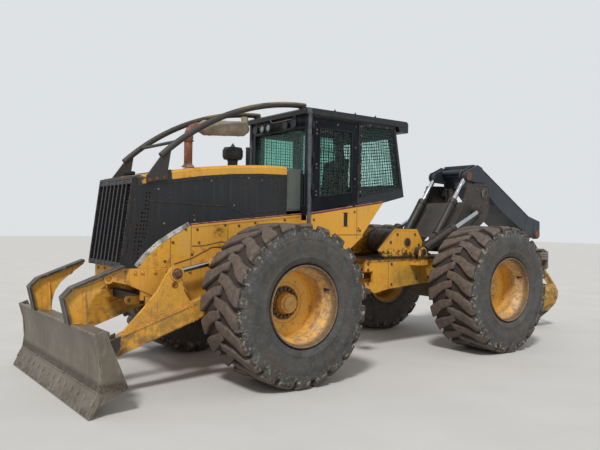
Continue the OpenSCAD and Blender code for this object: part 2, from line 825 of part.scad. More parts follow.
// Door on the left side, closed
module door(s) {
  inner = cab_y - wall_t;
  scale_side(s) color("#23262b") difference() {
    union() {
      side(inner, cab_y) difference() {
        door_outline(0);
        door_window_outline();
      }
      side(cab_y - 10, cab_y) intersection() {
        wire_grid(door_rear_x + 90, door_front_x - 90, 2080, roof_z - 120);
        offset(delta = 4) door_window_outline();
      }
      side(inner + 6, inner + 12) offset(delta = 4) door_window_outline();
      for (z = hinge_heights) hinge_half(z);
      side(cab_y - seat, cab_y + 20) polygon([[300, 1995], [330, 1995], [330, 2200], [300, 2200]]);
    }
    for (z = hinge_heights) hinge_c(z - 1) cylinder(r = 6 + pin_gap, h = hinge_h + 2, $fn = 24);
  }
}

// Door's half of a hinge at height z
module hinge_half(z) {
  hinge_c(z) cylinder(r = 12, h = hinge_h, $fn = 24);
  box([door_front_x - 60, cab_y - seat, z], [door_front_x + 5, cab_y + 10, z + hinge_h]);
}

module door_window_outline() {
  x0 = door_rear_x + door_frame;
  x1 = door_front_x - door_frame;
  polygon([[x0, cab_stripe_z(x0) + 200], [x0, roof_z - 145], [x1, roof_z - 145], [x1, cab_stripe_z(x1) + 200]]);
}

// Brush guard, exhaust and air cleaner

// Centre of a guard bar's bend below its joint with the roof, and its angles from the horizontal
guard_foot_z = 2411;
guard_c = [1009, roof_z + roof_t + guard_bar_r + 4 - guard_bend_r];
guard_start = max(47.2, asin((guard_foot_z - guard_c[1]) / guard_bend_r));
guard_end = 89.6;

// Point on a guard bar at an angle
function guard_point(a) = guard_c + guard_bend_r * [cos(a), sin(a)];

module brush_guard() {
  color("#33302b") {
    both() translate([guard_c[0], guard_y, guard_c[1]]) rotate([90, 0, 0]) rotate([0, 0, guard_start])
      rotate_extrude(angle = guard_end - guard_start, $fn = 180)
        translate([guard_bend_r, 0]) circle(r = guard_bar_r, $fn = 24);
    // feet on the hood's sides
    foot = guard_point(guard_start)[0] - 75;
    toe = foot + 230;
    both() side(hood_y + seat, hood_y + seat + 28)
      polygon([[foot, hood_z(foot) - 90], [toe, hood_z(toe) - 90], [toe, hood_z(toe) - 20],
               guard_point(guard_start + 0.3), guard_point(guard_start + 3.2), [foot, hood_z(foot) - 20]]);
    // struts between the bars
    for (a = [guard_start + 5.5, guard_start + 26]) bar_y(guard_point(a), 18, -guard_y, guard_y);
    // plates that join the bars to the roof
    both() box([1000, guard_y - 45, roof_z + roof_t + seat], [1085, guard_y + 45, roof_z + roof_t + 15]);
  }
}

muffler_a = [2330, 2780];
muffler_b = [1815, 2817];

module exhaust() {
  pipe_x = 2520;
  bend_r = 100;
  pipe_top = 2673;
  foot = hood_at(pipe_x - pipe_r - 24) + seat;
  long = norm(muffler_a - muffler_b);
  color("#8a6a55") {
    aim(muffler_b, muffler_a, muffler_y) rotate([0, 90, 0]) rotate_extrude()
      polygon([[0, -60], [pipe_r, -60], [muffler_r, 0], [muffler_r, long], [pipe_r + 8, long + 60], [pipe_r + 8, long + 110],
               [0, long + 110]]);
    // pipe from the hood up and back to the muffler
    translate([pipe_x, muffler_y, 0]) rotate_extrude()
      polygon([[0, foot], [pipe_r + 24, foot], [pipe_r + 24, foot + 16], [pipe_r, foot + 16], [pipe_r, pipe_top - 40],
               [pipe_r + 7, pipe_top - 40], [pipe_r + 7, pipe_top + 10], [0, pipe_top + 10]]);
    translate([pipe_x - bend_r, muffler_y, pipe_top]) rotate([90, 0, 0]) rotate_extrude(angle = 80, $fn = 64)
      translate([bend_r, 0]) circle(r = pipe_r);
    // tail pipe, turned up
    translate([muffler_b[0] - 20, muffler_y, muffler_b[1]]) cylinder(r = pipe_r - 4, h = 140);
  }
}

module air_cleaner() {
  x = 1800;
  y = 100;
  bowl_z = 2478;
  foot = hood_at(x - 60) + seat;
  color("#1d1d1e") translate([x, y, 0]) {
    translate([0, 0, foot]) cylinder(r = 60, h = bowl_z + 5 - foot);
    translate([0, 0, bowl_z]) rotate_extrude()
      polygon([[0, 0], [bowl_r * 0.9, 0], [bowl_r, 30], [bowl_r, 110], [bowl_r * 0.94, 122], [bowl_r * 0.9, 140],
               [30, 152], [20, 170], [0, 170]]);
    translate([-215, 0, hood_at(x - 215 - 26) + seat]) cylinder(r = 26, h = 240);
  }
}

// Blade with its arms and horns

module blade_arms() {
  color("#d29a2a") both() difference() {
    union() {
      side(arm_in, arm_out) {
        translate([arm_x, arm_z]) circle(r = 105);
        arm_outline();
      }
      side(arm_in + 25, arm_out - 25) lift_bracket_outline();
      bar_y([lift_x, lift_z], 78, arm_in + 5, arm_out - 15);
    }
    bar_y([arm_x, arm_z], 45 + pin_gap, arm_in - 10, arm_out + 10);
    bar_y([lift_x + 20, lift_z - 115], 26, arm_in - 10, arm_out + 10);
  }
}

// Beam of an arm, from its pivot down to the blade
module arm_outline() {
  d = arm_d / 2;
  translate([arm_x, arm_z]) rotate(-arm_slope)
    polygon([[0, -d], [0, d], [600, d], [1390, d], [1500, d - 20], [1560, -30], [1510, -d], [1180, -d]]);
  polygon([[3500, 560], back_top - [seat, 0], back_mid - [seat, 0], back_low - [seat, 0], [3560, 320], [3400, 440]]);
}

// Tall three-cornered plate on an arm, up to the lift cylinder's pin
module lift_bracket_outline() {
  polygon([[lift_x + 60, lift_z + 48], [lift_x + 105, lift_z - 10], [lift_x + 200, lift_z - 170],
           [lift_x + 330, lift_z - 320], [lift_x + 560, lift_z - 555], [lift_x + 480, lift_z - 570],
           [lift_x - 180, lift_z - 330], [lift_x - 90, lift_z - 190], [lift_x - 60, lift_z - 50]]);
  translate([lift_x, lift_z]) circle(r = 78);
}

// Front line of the blade: points up the hollow, by height
function blade_arc(n) = let (a = [3822, blade_low + edge_h], b = [3870, blade_top], m = (a + b) / 2,
    h = norm(b - a) / 2, u = (b - a) / (2 * h), c = m + sqrt(blade_hollow_r * blade_hollow_r - h * h) * [u[1], -u[0]],
    a0 = atan2(a[1] - c[1], a[0] - c[0]), b0 = atan2(b[1] - c[1], b[0] - c[0]), a1 = a0 < 0 ? a0 + 360 : a0,
    b1 = b0 < 0 ? b0 + 360 : b0)
  [for (i = [0:n]) c + blade_hollow_r * [cos(a1 + i * (b1 - a1) / n), sin(a1 + i * (b1 - a1) / n)]];

module blade() {
  face = blade_arc(10);
  back = [for (i = [10:-1:0]) face[i] - [blade_t, 0]];
  plate = 24;
  color("#8d8578") {
    side(-blade_y + plate, blade_y - plate) polygon(concat(face, back));
    // cutting edge, bolted on at the foot
    side(-blade_y - 12, blade_y + 12)
      polygon([[edge_x, blade_low], [edge_x - 30, blade_low], [3794, blade_low + edge_h - 10], [3822, blade_low + edge_h + 4]]);
    // end plates
    both() side(blade_y - plate, blade_y)
      polygon([[3870, blade_top], [3775, blade_top + 40], [3545, 215], [3850, 95], [3880, 110], face[0], face[2], face[5], face[8]]);
    // box along the back
    side(-1180, 1180) polygon([[3800, 170], [3812, 600], [3845, blade_top], [3690, blade_top], [3690, blade_top - 35],
                               back_top, back_mid, back_low]);
    // plates from the ends to the arms
    both() side(arm_out + seat, arm_out + 25) polygon([[3790, 560], [3560, 600], [3420, 520], [3560, 210], [3780, 190]]);
  }
}

module blade_horns() {
  color("#d29a2a") both() {
    side(horn_y - horn_t / 2, horn_y + horn_t / 2)
      polygon([[3866, blade_top + seat], [3925, 985], [3845, 1062], [3350, 1250], [3350, 1225],
               [3480, 1130], [3600, 1030], [3665, 930], [3692, 830], [3700, blade_top + seat]]);
    // worn strip along the upper and front edges
    side(horn_y - horn_strip / 2, horn_y + horn_strip / 2) {
      polygon([[3350, 1250], [3845, 1062], [3860, 1082], [3355, 1274]]);
      polygon([[3845, 1062], [3925, 985], [horn_front_x, 992], [3860, 1082]]);
      polygon([[3925, 985], [horn_front_x, 992], [3888, blade_top + seat], [3864, blade_top + seat]]);
    }
    // gusset behind the foot
    front(3722, 3744) polygon([[horn_y - 90, blade_top + seat], [horn_y + 90, blade_top + seat],
                               [horn_y + 20, 1060], [horn_y - 20, 1060]]);
  }
}

module lift_barrels() {
  len = 640;
  color("#c8912c") both() aim(lift_base, [lift_x, lift_z], lift_y) barrel(lift_barrel_r, 80, len);
}

module lift_rods() {
  color("#b9bcbf") both() aim([lift_x, lift_z], lift_base, lift_y) piston_rod(lift_barrel_r, 62, 740);
}

// Steering cylinders, lying flat beside the hinge

// Places its children with x along p to q, both [x, y], and their eyes' axis upright
module aim_flat(p, q, z) translate([p[0], p[1], z]) rotate([0, 0, dir(p, q)]) rotate([90, 0, 0]) children();

module steer_barrel(s) scale_side(s) color("#2f2d2a")
  aim_flat(steer_base, steer_eye, steer_z) barrel(steer_barrel_r, 80, 560);

module steer_rod(s) scale_side(s) color("#b9bcbf")
  aim_flat(steer_eye, steer_base, steer_z) piston_rod(steer_barrel_r, 60, 640);

// Rear frame with its axle, tower and winch

// Height of the deck at x, ahead of its highest line
deck_top_x = -1500;
function deck_top(x) = deck_front_z + (deck_z - deck_front_z) * (rear_front_x - x) / (rear_front_x - deck_top_x);
deck_front_z = 1240;
rear_front_x = -60;

module rear_plate_outline() {
  seat_z = axle_z + axle_tube_r + seat;
  polygon([[-60, 1240], [-60, steer_z + 75], [-210, steer_z + 75], [-210, steer_z - 75], [-60, steer_z - 75],
           [-60, 880], [-260, 790], [-500, 835], [-1140, 885], [rear_x + 190, 905], [rear_x + 150, seat_z],
           [rear_x - 150, seat_z], [rear_x - 190, 905], [-2060, 960], [rear_end_x, 1010],
           [rear_end_x, deck_z - 30], [deck_top_x, deck_z]]);
}

module rear_frame() {
  inner = rear_y - 40;
  color("#d29a2a") difference() {
    union() {
      both() side(inner, rear_y) rear_plate_outline();
      box([-480, -inner, 830], [-430, inner, 1240]);
      box([-2400, -inner, 1030], [-2360, inner, 1230]);
      // deck, open over the hinge
      side(-inner, inner) polygon([[-430, deck_top(-430)], [deck_top_x, deck_z], [-2400, deck_z - 30], [-2400, deck_z - 55],
                                   [deck_top_x, deck_z - 25], [-430, deck_top(-430) - 25]]);
      side(-inner, inner) polygon([[-480, 835], [-1480, 905], [-1480, 925], [-480, 855]]);
      // drawbar
      translate([0, 0, drawbar_z]) linear_extrude(50) {
        translate([drawbar_x, 0]) circle(r = 75);
        translate([drawbar_x, -75]) square([rear_end_x + 60 - drawbar_x, 150]);
      }
      // hinge ears
      for (z = [frame_low + 25, frame_top - 125]) hinge_ear(z, 60);
      // upper and lower hinge pin
      translate([0, 0, frame_low - 50]) cylinder(r = hinge_r, h = 140);
      translate([0, 0, frame_top - 130]) cylinder(r = hinge_r, h = 140);
      both() steer_eye_ears();
      both() arch_pivot_ears();
      both() arch_base_ears();
    }
    both() bar_y([arch_x, arch_z], 50 + pin_gap, 200, 600);
    translate([drawbar_x, 0, drawbar_z - 10]) cylinder(r = drawbar_r, h = 70);
  }
}

drawbar_x = -2510;
drawbar_z = 1035;

// Ear of the rear frame that lies beside a tongue of the front frame
module hinge_ear(z, t) {
  translate([0, 0, z]) linear_extrude(t) {
    circle(r = tongue_y - 20, $fn = 64);
    polygon([[0, -tongue_y + 20], [0, tongue_y - 20], [-200, tongue_y - 20], [-440, 380], [-440, -380], [-200, -tongue_y + 20]]);
  }
}

// Ears above and below the eye of a steering rod
module steer_eye_ears() {
  for (z = [steer_z - 65, steer_z + 41]) translate([0, 0, z]) linear_extrude(24) {
    translate(steer_eye) circle(r = 60);
    translate([-440, steer_eye[1] - 60]) square([440 + steer_eye[0], 120]);
  }
}

// Ears on the deck that the arch turns in
module arch_pivot_ears() {
  for (y = [arch_y + 8, arch_y - arch_t - 32]) side(y, y + 24) {
    translate([arch_x, arch_z]) circle(r = 95);
    polygon([[arch_x - 95, arch_z], [arch_x + 95, arch_z], [arch_x + 140, 1180], [arch_x - 140, 1180]]);
  }
}

// Ears that hold the base of an arch cylinder
module arch_base_ears() {
  x = arch_base[0];
  z = arch_base[1];
  for (y = [arch_cyl_y - 64, arch_cyl_y + 44]) side(y, y + 20) {
    translate([x, z]) circle(r = 70);
    polygon([[x - 70, z], [x + 70, z], [x + 100, deck_z - 60], [x - 100, deck_z - 60]]);
  }
  box([x - 100, rear_y - 10, deck_z - 110], [x + 100, arch_cyl_y + 64, deck_z - 60]);
  bar_y(arch_base, arch_barrel_r * 1.15 * 0.5 - pin_gap, arch_cyl_y - 64, arch_cyl_y + 64);
}

module winch_tower() {
  color("#d29a2a") {
    both() side(tower_y - 30, tower_y)
      polygon([[-450, deck_top(-450) + seat], [-330, 1375], [-640, 1670], [-1090, 1665], [-1200, 1500],
               [-1200, deck_top(-1200) + seat]]);
    box([-1180, -tower_y + 29, deck_top(-1180) + seat], [-1150, tower_y - 29, 1480]);
    box([-700, -tower_y + 29, deck_top(-700) + seat], [-670, tower_y - 29, 1280]);
    both() difference() {
      bar_y(winch_c, 75, 232, tower_y - 29);
      bar_y(winch_c, 40 + pin_gap, 200, tower_y - 60);
    }
  }
}

module winch_drum() {
  color("#6d5a45") {
    bar_y(winch_c, drum_r, -220, 220);
    both() bar_y(winch_c, drum_r + 55, 200, 222);
    bar_y(winch_c, drum_r + 22, -199, 199);
    bar_y(winch_c, 40, -tower_y + 62, tower_y - 62);
  }
}

// Arch, fairlead, boom and their cylinders

roller_x = -2560;
roller_y = 180;

// Outline of an arch plate in x and z
module arch_plate_outline() {
  translate([arch_x, arch_z]) circle(r = 105);
  polygon([[-1765, 1400], [-1920, 1322], [-2120, 1450], [-2330, 1620], [-2560, 1770], [-2680, 1890], [-2715, 2010],
           [-2720, 2345], [-2640, 2375], [-2230, 2365], [-2150, 2150], [-1990, 1930], [-1780, 1620], [-1720, 1530]]);
  polygon([[-1850, 1500], [-1800, 1440], boom_base + [0, -70], boom_base + [0, 70], [-1760, 1610]]);
  translate(boom_base) circle(r = 70);
}

module arch() {
  inner = arch_y - arch_t;
  color("#34332f") difference() {
    union() {
      both() side(inner, arch_y) arch_plate_outline();
      // front plate and the plates across
      side(-inner, inner) polygon([[-1775, 1540], [-1805, 1540], [-2190, 2080], [-2160, 2080]]);
      box([-2700, -inner, 1960], [-2250, inner, 1990]);
      side(-inner, inner) polygon([[-2700, 1900], [-2700, 1960], [-2250, 1960], [-2250, 1930]]);
      bar_y([arch_x, arch_z], 80, -inner + 44, inner - 44);
      // pins: pivot, boom and cylinders
      bar_y([arch_x, arch_z], 50, -arch_y - 36, arch_y + 36);
      both() bar_y([boom_x, boom_z], 45, boom_y - 42, inner);
      both() bar_y([boom_x, boom_z], 75, boom_y + 6, inner);
      both() bar_y(boom_base, 35, boom_cyl_y - 45, inner + 5);
      both() bar_y(arch_eye, 85, inner, arch_cyl_y - 36);
      // frame of the fairlead
      both() box([roller_x - 60, roller_y + roller_r + 8, 1985], [roller_x + 60, roller_y + roller_r + 20, 2325]);
      both() box([roller_x - 60, roller_y - 50, 2300], [roller_x + 60, roller_y + roller_r + 20, 2325]);
      both() box([roller_x - 120, 148, 1985], [roller_x - 60, 163, 2100]);
    }
    bar_y([roller_x - 90, 2060], 22 + pin_gap, -170, 170);
  }
}

module fairlead_rollers() {
  color("#4b4036") {
    both() translate([roller_x, roller_y, 1990 + seat]) cylinder(r = roller_r, h = 2300 - 1990 - 2 * seat);
    bar_y([roller_x - 90, 2060], roller_r - 8, -140, 140);
    bar_y([roller_x - 90, 2060], 22, -162, 162);
  }
}

// Outline of the boom's side in x and z
module boom_outline() {
  polygon([[-2500, 2690], [-2680, 2650], [-3990, 1905], [tip_x - 90, 1815], [tip_x - 90, 1570], [tip_x - 50, 1516],
           [-4170, 1512], [-3764, 1687], [-3330, 1913], [-3057, 2070], [-2712, 2353], [-2600, 2400], [-2500, 2430]]);
}

// Room inside the boom, open below and behind at its tip
module boom_room_outline() {
  offset(delta = -boom_t) boom_outline();
  polygon([[-4060, 1500], [-4060, 1855], [tip_x - 100, 1782], [tip_x - 100, 1500]]);
}

module boom() {
  color("#2d2e31") difference() {
    union() {
      difference() {
        side(-boom_y, boom_y) boom_outline();
        side(-boom_y + boom_t, boom_y - boom_t) boom_room_outline();
      }
      // lugs of the boom's pivot
      both() side(boom_y - 30, boom_y) {
        translate([boom_x, boom_z]) circle(r = 90);
        polygon([[boom_x - 90, boom_z], [boom_x + 90, boom_z], [boom_x + 110, 2440], [boom_x - 160, 2440]]);
      }
      // ears for the boom cylinders
      both() for (y = [boom_cyl_y - ear_gap - ear_t, boom_cyl_y + ear_gap]) side(y, y + ear_t) {
        translate([ear_x, ear_z]) circle(r = 85);
        polygon([[ear_x, ear_z + 85], [ear_x - 30, ear_z - 80], [-2560, 2410], [-2620, 2430], [-2620, 2640], [-2500, 2680]]);
      }
      both() box([-2620, boom_cyl_y - ear_gap - ear_t, 2430], [-2520, boom_cyl_y + ear_gap + ear_t, 2640]);
      bar_y([ear_x - 120, ear_z + 70], 45, -boom_cyl_y - ear_gap - 5, boom_cyl_y + ear_gap + 5);
      // pin of the grapple, with its spacers
      bar_y([tip_x, tip_z], 40, -boom_y, boom_y);
      both() bar_y([tip_x, tip_z], 62, 96, boom_y - 5);
      both() bar_y([tip_x, tip_z], 74, boom_y - 5, boom_y + 12);
    }
    bar_y([boom_x, boom_z], 45 + pin_gap, -500, 500);
  }
}

module arch_barrels() {
  color("#2b2a29") both() aim(arch_base, arch_eye, arch_cyl_y) barrel(arch_barrel_r, 80, 790);
}

module arch_rods() {
  color("#b9bcbf") both() aim(arch_eye, arch_base, arch_cyl_y) {
    piston_rod(arch_barrel_r, 60, 1100);
    translate([0, 42, 0]) rotate([90, 0, 0]) cylinder(r = 40, h = 72);
  }
}

module boom_barrels() {
  color("#2b2a29") both() aim(boom_base, [ear_x, ear_z], boom_cyl_y) barrel(arch_barrel_r, 70, 740);
}

module boom_rods() {
  color("#b9bcbf") both() aim([ear_x, ear_z], boom_base, boom_cyl_y) piston_rod(arch_barrel_r, 56, 860);
}

// Grapple

// Cross that hangs on the boom's pin and carries the swivel's pin
module grapple_cross() {
  color("#6a5a3c") difference() {
    union() {
      bar_y([tip_x, tip_z], 60, -90, 90);
      bar_x(tip_x - 66, tip_x + 66, 0, cross_z, 46);
      box([tip_x - 42, -50, cross_z], [tip_x + 42, 50, tip_z]);
    }
    bar_y([tip_x, tip_z], 40 + pin_gap, -100, 100);
    bar_x(tip_x - 80, tip_x + 80, 0, cross_z, 28 + pin_gap);
  }
}

// Swivel: two ears with their pin over the rotator's housing
module grapple_swivel() {
  color("#8b8a4e") {
    for (x = [tip_x - 100, tip_x + 72]) front(x, x + 28) {
      translate([0, cross_z]) circle(r = 46);
      translate([-46, swivel_low + 10]) square([92, cross_z - swivel_low - 10]);
    }
    bar_x(tip_x - 100, tip_x + 100, 0, cross_z, 28);
    box([tip_x - 110, -200, swivel_low], [tip_x + 110, 200, swivel_low + swivel_h]);
  }
}

// Half width of the grapple's head, and its lower edge
head_y = 390;
head_low = 965;

module grapple_head() {
  top = swivel_low - seat;
  plate_top = top - 30;
  color("#7b756c") difference() {
    union() {
      translate([tip_x, 0, plate_top - 5]) cylinder(r = 150, h = top - plate_top + 5);
      box([tip_x - head_plate_x - 5, -290, plate_top - 30], [tip_x + head_plate_x + 5, 290, plate_top]);
      for (x = [tip_x - head_plate_x - head_plate_t, tip_x + head_plate_x]) front(x, x + head_plate_t)
        polygon([[-300, plate_top], [300, plate_top], [head_y, plate_top - 50], [head_y, head_low + 45], [head_y - 50, head_low],
                 [150, head_low], [100, head_low + 95], [-100, head_low + 95], [-150, head_low], [-head_y + 50, head_low],
                 [-head_y, head_low + 45], [-head_y, plate_top - 50]]);
      both() box([tip_x - head_plate_x - 5, head_y - 25, 1150], [tip_x + head_plate_x + 5, head_y, plate_top - 60]);
    }
    both() bar_x(tip_x - 300, tip_x + 300, tong_y, tong_z, 35 + pin_gap);
  }
}

// Outer line of a tong from below its pivot to its tip, as [y, z] from the pivot
tong_outer = [[60, 30], [90, -10], [190, -130], [305, -285], [375, -400], [368, -510], [320, -630], [200, -760], [0, -915]];
tong_inner = [[-15, -895], [150, -730], [250, -610], [290, -500], [290, -410], [230, -320], [110, -180], [-25, -45],
              [-60, 0]];

// Tong on side s, with the lever that its cylinder works on
module tong(s) {
  w = tong_w / 2;
  pin = [tong_y, tong_z];
  n = len(tong_outer) - 1;
  skin_out = [for (i = [3:n]) pin + tong_outer[i]];
  skin_in = [for (i = [n:-1:3]) pin + tong_outer[i] + (i == n ? [-15, 20] : [-28, i < 6 ? 4 : 22])];
  scale_side(s) color("#c0902f") {
    for (x = [tip_x - w, tip_x + w - tong_t]) front(x, x + tong_t) {
      polygon([for (p = concat(tong_outer, tong_inner)) pin + p]);
      translate(pin) circle(r = 68);
      translate(pin + lever) circle(r = 42);
      translate(pin) rotate(90 - lever_a) translate([0, -38]) square([lever_l, 76]);
    }
    front(tip_x - w + 5, tip_x + w - 5) polygon(concat(skin_out, skin_in));
    for (x = [tip_x - w, tip_x + tong_gap]) bar_x(x, x + w - tong_gap, tong_y, tong_z, 56);
    bar_x(tip_x - tong_pin_x, tip_x + tong_pin_x, tong_y, tong_z, 35);
    if (s > 0) bar_x(tip_x - w + 5, tip_x + w - 5, tong_y + lever[0], tong_z + lever[1], tong_cyl_r * 0.575 - pin_gap);
  }
}

// Half of the room between the two halves of a tong's hub, for the cylinder
tong_gap = 55;

// Cylinder across the tongs: barrel on the left tong's lever, rod towards the right one's
module tong_barrel() color("#2b2a29")
  aim_across(1) barrel(tong_cyl_r, 80, 325);

module tong_rod() color("#b9bcbf") aim_across(-1) {
  piston_rod(tong_cyl_r, 60, 288);
  translate([0, tong_w / 2 - tong_t - 10, 0]) rotate([90, 0, 0]) cylinder(r = 20, h = tong_w - 2 * tong_t - 20);
}

// Places its children at a lever's eye on side s, with their own x axis towards the other side
module aim_across(s) translate([tip_x, s * (tong_y + lever[0]), tong_z + lever[1]]) rotate([0, 0, -s * 90]) children();

// Pieces

machine() front_frame();
machine() engine_block();
machine() radiator();
machine() grille();
machine() hood_sides();
machine() hood_top();
machine() lower_body();
machine() cab_shell();
machine() cab_roof();
machine() cab_glass();
machine() window_guards();
machine() seat();
machine() controls();
machine() door(1);  // door_left
machine() door(-1);  // door_right
machine() brush_guard();
machine() exhaust();
machine() air_cleaner();
machine() front_axle();
machine() wheel_at(front_x, 1) tyre();  // tyre_front_left
machine() wheel_at(front_x, -1) tyre();  // tyre_front_right
machine() wheel_at(rear_x, 1) tyre();  // tyre_rear_left
machine() wheel_at(rear_x, -1) tyre();  // tyre_rear_right
machine() wheel_at(front_x, 1) rim();  // rim_front_left
machine() wheel_at(front_x, -1) rim();  // rim_front_right
machine() wheel_at(rear_x, 1) rim();  // rim_rear_left
machine() wheel_at(rear_x, -1) rim();  // rim_rear_right
machine() blade_arms();
machine() blade();
machine() blade_horns();
machine() lift_barrels();
machine() lift_rods();
machine() steer_barrel(1);  // steer_barrel_left
machine() steer_rod(1);  // steer_rod_left
machine() steer_barrel(-1);  // steer_barrel_right
machine() steer_rod(-1);  // steer_rod_right
machine() rear_frame();
machine() rear_axle();
machine() winch_tower();
machine() winch_drum();
machine() arch();
machine() fairlead_rollers();
machine() boom();
machine() arch_barrels();
machine() arch_rods();
machine() boom_barrels();
machine() boom_rods();
machine() grapple_cross();
machine() grapple_swivel();
machine() grapple_head();
machine() tong(1);  // tong_left
machine() tong(-1);  // tong_right
machine() tong_barrel();
machine() tong_rod();
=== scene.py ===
"""Looks of a grapple skidder: its finishes, its fine shapes, and the studio it stands in.

Sizes are in millimetres from the steering hinge, x forward, y left and z up, as in the
part's source. spot() turns them into the frame's metres.
"""

import json
import logging
import math
import random
from dataclasses import dataclass
from enum import Enum
from typing import Iterable, Optional, Sequence

import bmesh
import bpy
from mathutils import Matrix, Vector

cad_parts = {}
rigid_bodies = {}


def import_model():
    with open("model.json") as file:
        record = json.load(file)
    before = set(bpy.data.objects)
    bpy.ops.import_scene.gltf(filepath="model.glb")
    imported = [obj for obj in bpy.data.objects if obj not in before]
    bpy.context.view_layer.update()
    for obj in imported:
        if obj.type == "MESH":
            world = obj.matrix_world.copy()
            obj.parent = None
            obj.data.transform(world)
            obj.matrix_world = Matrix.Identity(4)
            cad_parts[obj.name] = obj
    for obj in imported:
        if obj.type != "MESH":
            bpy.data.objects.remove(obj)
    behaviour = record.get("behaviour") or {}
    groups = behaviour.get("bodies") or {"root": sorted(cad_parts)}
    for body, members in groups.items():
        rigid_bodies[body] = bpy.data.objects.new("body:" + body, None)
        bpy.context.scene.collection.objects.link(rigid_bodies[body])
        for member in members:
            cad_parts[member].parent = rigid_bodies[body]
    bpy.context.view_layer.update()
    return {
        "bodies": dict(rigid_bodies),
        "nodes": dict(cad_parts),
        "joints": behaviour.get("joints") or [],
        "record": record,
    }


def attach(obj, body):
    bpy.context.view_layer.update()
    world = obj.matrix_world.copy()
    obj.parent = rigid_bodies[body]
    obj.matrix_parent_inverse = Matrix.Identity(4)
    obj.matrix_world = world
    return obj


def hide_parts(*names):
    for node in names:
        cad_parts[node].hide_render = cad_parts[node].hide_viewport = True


log = logging.getLogger("skidder")

MM = 0.001
HINGE_AHEAD = 266.0
WHEEL_X = 1750.0
WHEEL_MID = 1167.5
AXLE_Z = 865.0

# pins and axes across the machine, as x and z: each cylinder's base pin and its rod's eye,
# and what the arms, the arch, the boom and the drum turn about
ARM_PIN = (2050, 980)
LIFT_BASE = (1750, 1390)
LIFT_EYE = (2820, 1186)
DRUM_AXIS = (-880, 1480)
ARCH_PIN = (-1850, 1400)
ARCH_BASE = (-1015, 1345)
ARCH_EYE = (-2330, 1964)
BOOM_PIN = (-2600, 2230)
BOOM_BASE = (-1570, 1510)
BOOM_EYE = (-2290, 2502)

Point = tuple[float, float, float]
Flat = tuple[float, float]
Piece = bpy.types.Object

LEFT = Vector((0, 1, 0))
AHEAD = Vector((1, 0, 0))
UP = Vector((0, 0, 1))
BOTH = (1, -1)
MIRROR = Matrix.Diagonal((1.0, -1.0, 1.0, 1.0))
SIDES = (("left", 1), ("right", -1))
AXLES = (("front", WHEEL_X), ("rear", -WHEEL_X))
CORNERS = tuple((f"{end}_{side}", x, s) for end, x in AXLES for side, s in SIDES)


class Body(Enum):
    """Bodies of the frame that new pieces ride on."""

    FRONT = "front"
    REAR = "rear"
    BLADE = "blade"
    ARCH = "arch"
    BOOM = "boom"
    DOOR_LEFT = "door_left"
    DOOR_RIGHT = "door_right"
    DRUM = "winch_drum"
    HEAD = "grapple_head"
    TONG_LEFT = "tong_left"
    TONG_RIGHT = "tong_right"
    LIFT = "lift_barrels"
    ARCH_CYLINDERS = "arch_barrels"
    BOOM_CYLINDERS = "boom_barrels"
    WHEEL_FRONT_LEFT = "wheel_front_left"
    WHEEL_FRONT_RIGHT = "wheel_front_right"
    WHEEL_REAR_LEFT = "wheel_rear_left"
    WHEEL_REAR_RIGHT = "wheel_rear_right"


class Slot(Enum):
    """Material slots of the record."""

    YELLOW = "yellow_paint"
    BLACK = "black_paint"
    DARK = "dark_steel"
    WORN = "worn_steel"
    CAST = "cast_grey"
    TYRE = "tyre"
    RIM = "rim_paint"
    CHROME = "rod_chrome"
    GLASS = "glass"
    SEAT = "seat_cover"
    PLASTIC = "trim_plastic"
    EXHAUST = "exhaust_steel"
    GRAPPLE = "grapple_paint"


class Plane(Enum):
    """Planes that a flat outline is drawn in, x and z or y and z, by the axis across them."""

    SIDE = 1
    FRONT = 0


def spot(x: float, y: float, z: float) -> Vector:
    """Point of the frame, in metres, from millimetres at the steering hinge."""
    return Vector((x + HINGE_AHEAD, y, z)) * MM


def beside(pin: Flat, y: float) -> Point:
    """Place on a pin, at a distance from the centre plane."""
    return (pin[0], y, pin[1])


def linear(hex_colour: str) -> tuple[float, float, float, float]:
    """Linear colour of an sRGB hex value.

    Args:
        hex_colour: six hex digits with a leading #.

    Returns:
        Red, green, blue and an opacity of 1.
    """
    channels = [int(hex_colour[i : i + 2], 16) / 255 for i in (1, 3, 5)]
    line = [c / 12.92 if c <= 0.04045 else ((c + 0.055) / 1.055) ** 2.4 for c in channels]
    return (line[0], line[1], line[2], 1.0)


# Finishes


@dataclass(frozen=True)
class Mask:
    """Value or colour that changes over a piece. Sums, products and the like of masks are masks."""

    tree: bpy.types.NodeTree
    socket: bpy.types.NodeSocket

    def calc(self, operation: str, a: object, b: object = 0.0) -> "Mask":
        """Result of one step of arithmetic."""
        return Mask(self.tree, add(self.tree, "ShaderNodeMath", {0: a, 1: b}, operation=operation).outputs[0])

    def __mul__(self, other: object) -> "Mask":
        """Where both masks are."""
        return self.calc("MULTIPLY", self, other)

    def __add__(self, other: object) -> "Mask":
        """Sum."""
        return self.calc("ADD", self, other)

    def __sub__(self, other: object) -> "Mask":
        """Difference."""
        return self.calc("SUBTRACT", self, other)

    def __truediv__(self, other: object) -> "Mask":
        """Quotient."""
        return self.calc("DIVIDE", self, other)

    def __or__(self, other: object) -> "Mask":
        """Where either mask is."""
        return self.calc("MAXIMUM", self, other)

    def __invert__(self) -> "Mask":
        """Where the mask isn't."""
        return self.calc("SUBTRACT", 1.0, self)

    def __abs__(self) -> "Mask":
        """Value without its sign."""
        return self.calc("ABSOLUTE", self)

    def hypot(self, other: "Mask") -> "Mask":
        """Length of the two sides' diagonal."""
        return self.calc("SQRT", self * self + other * other)

    def step(self, low: float, high: float) -> "Mask":
        """Ramp from 0 at low to 1 at high, held at its ends."""
        ramp = add(self.tree, "ShaderNodeMapRange", {0: self, 1: low, 2: high, 3: 0.0, 4: 1.0}, clamp=True)
        return Mask(self.tree, ramp.outputs[0])


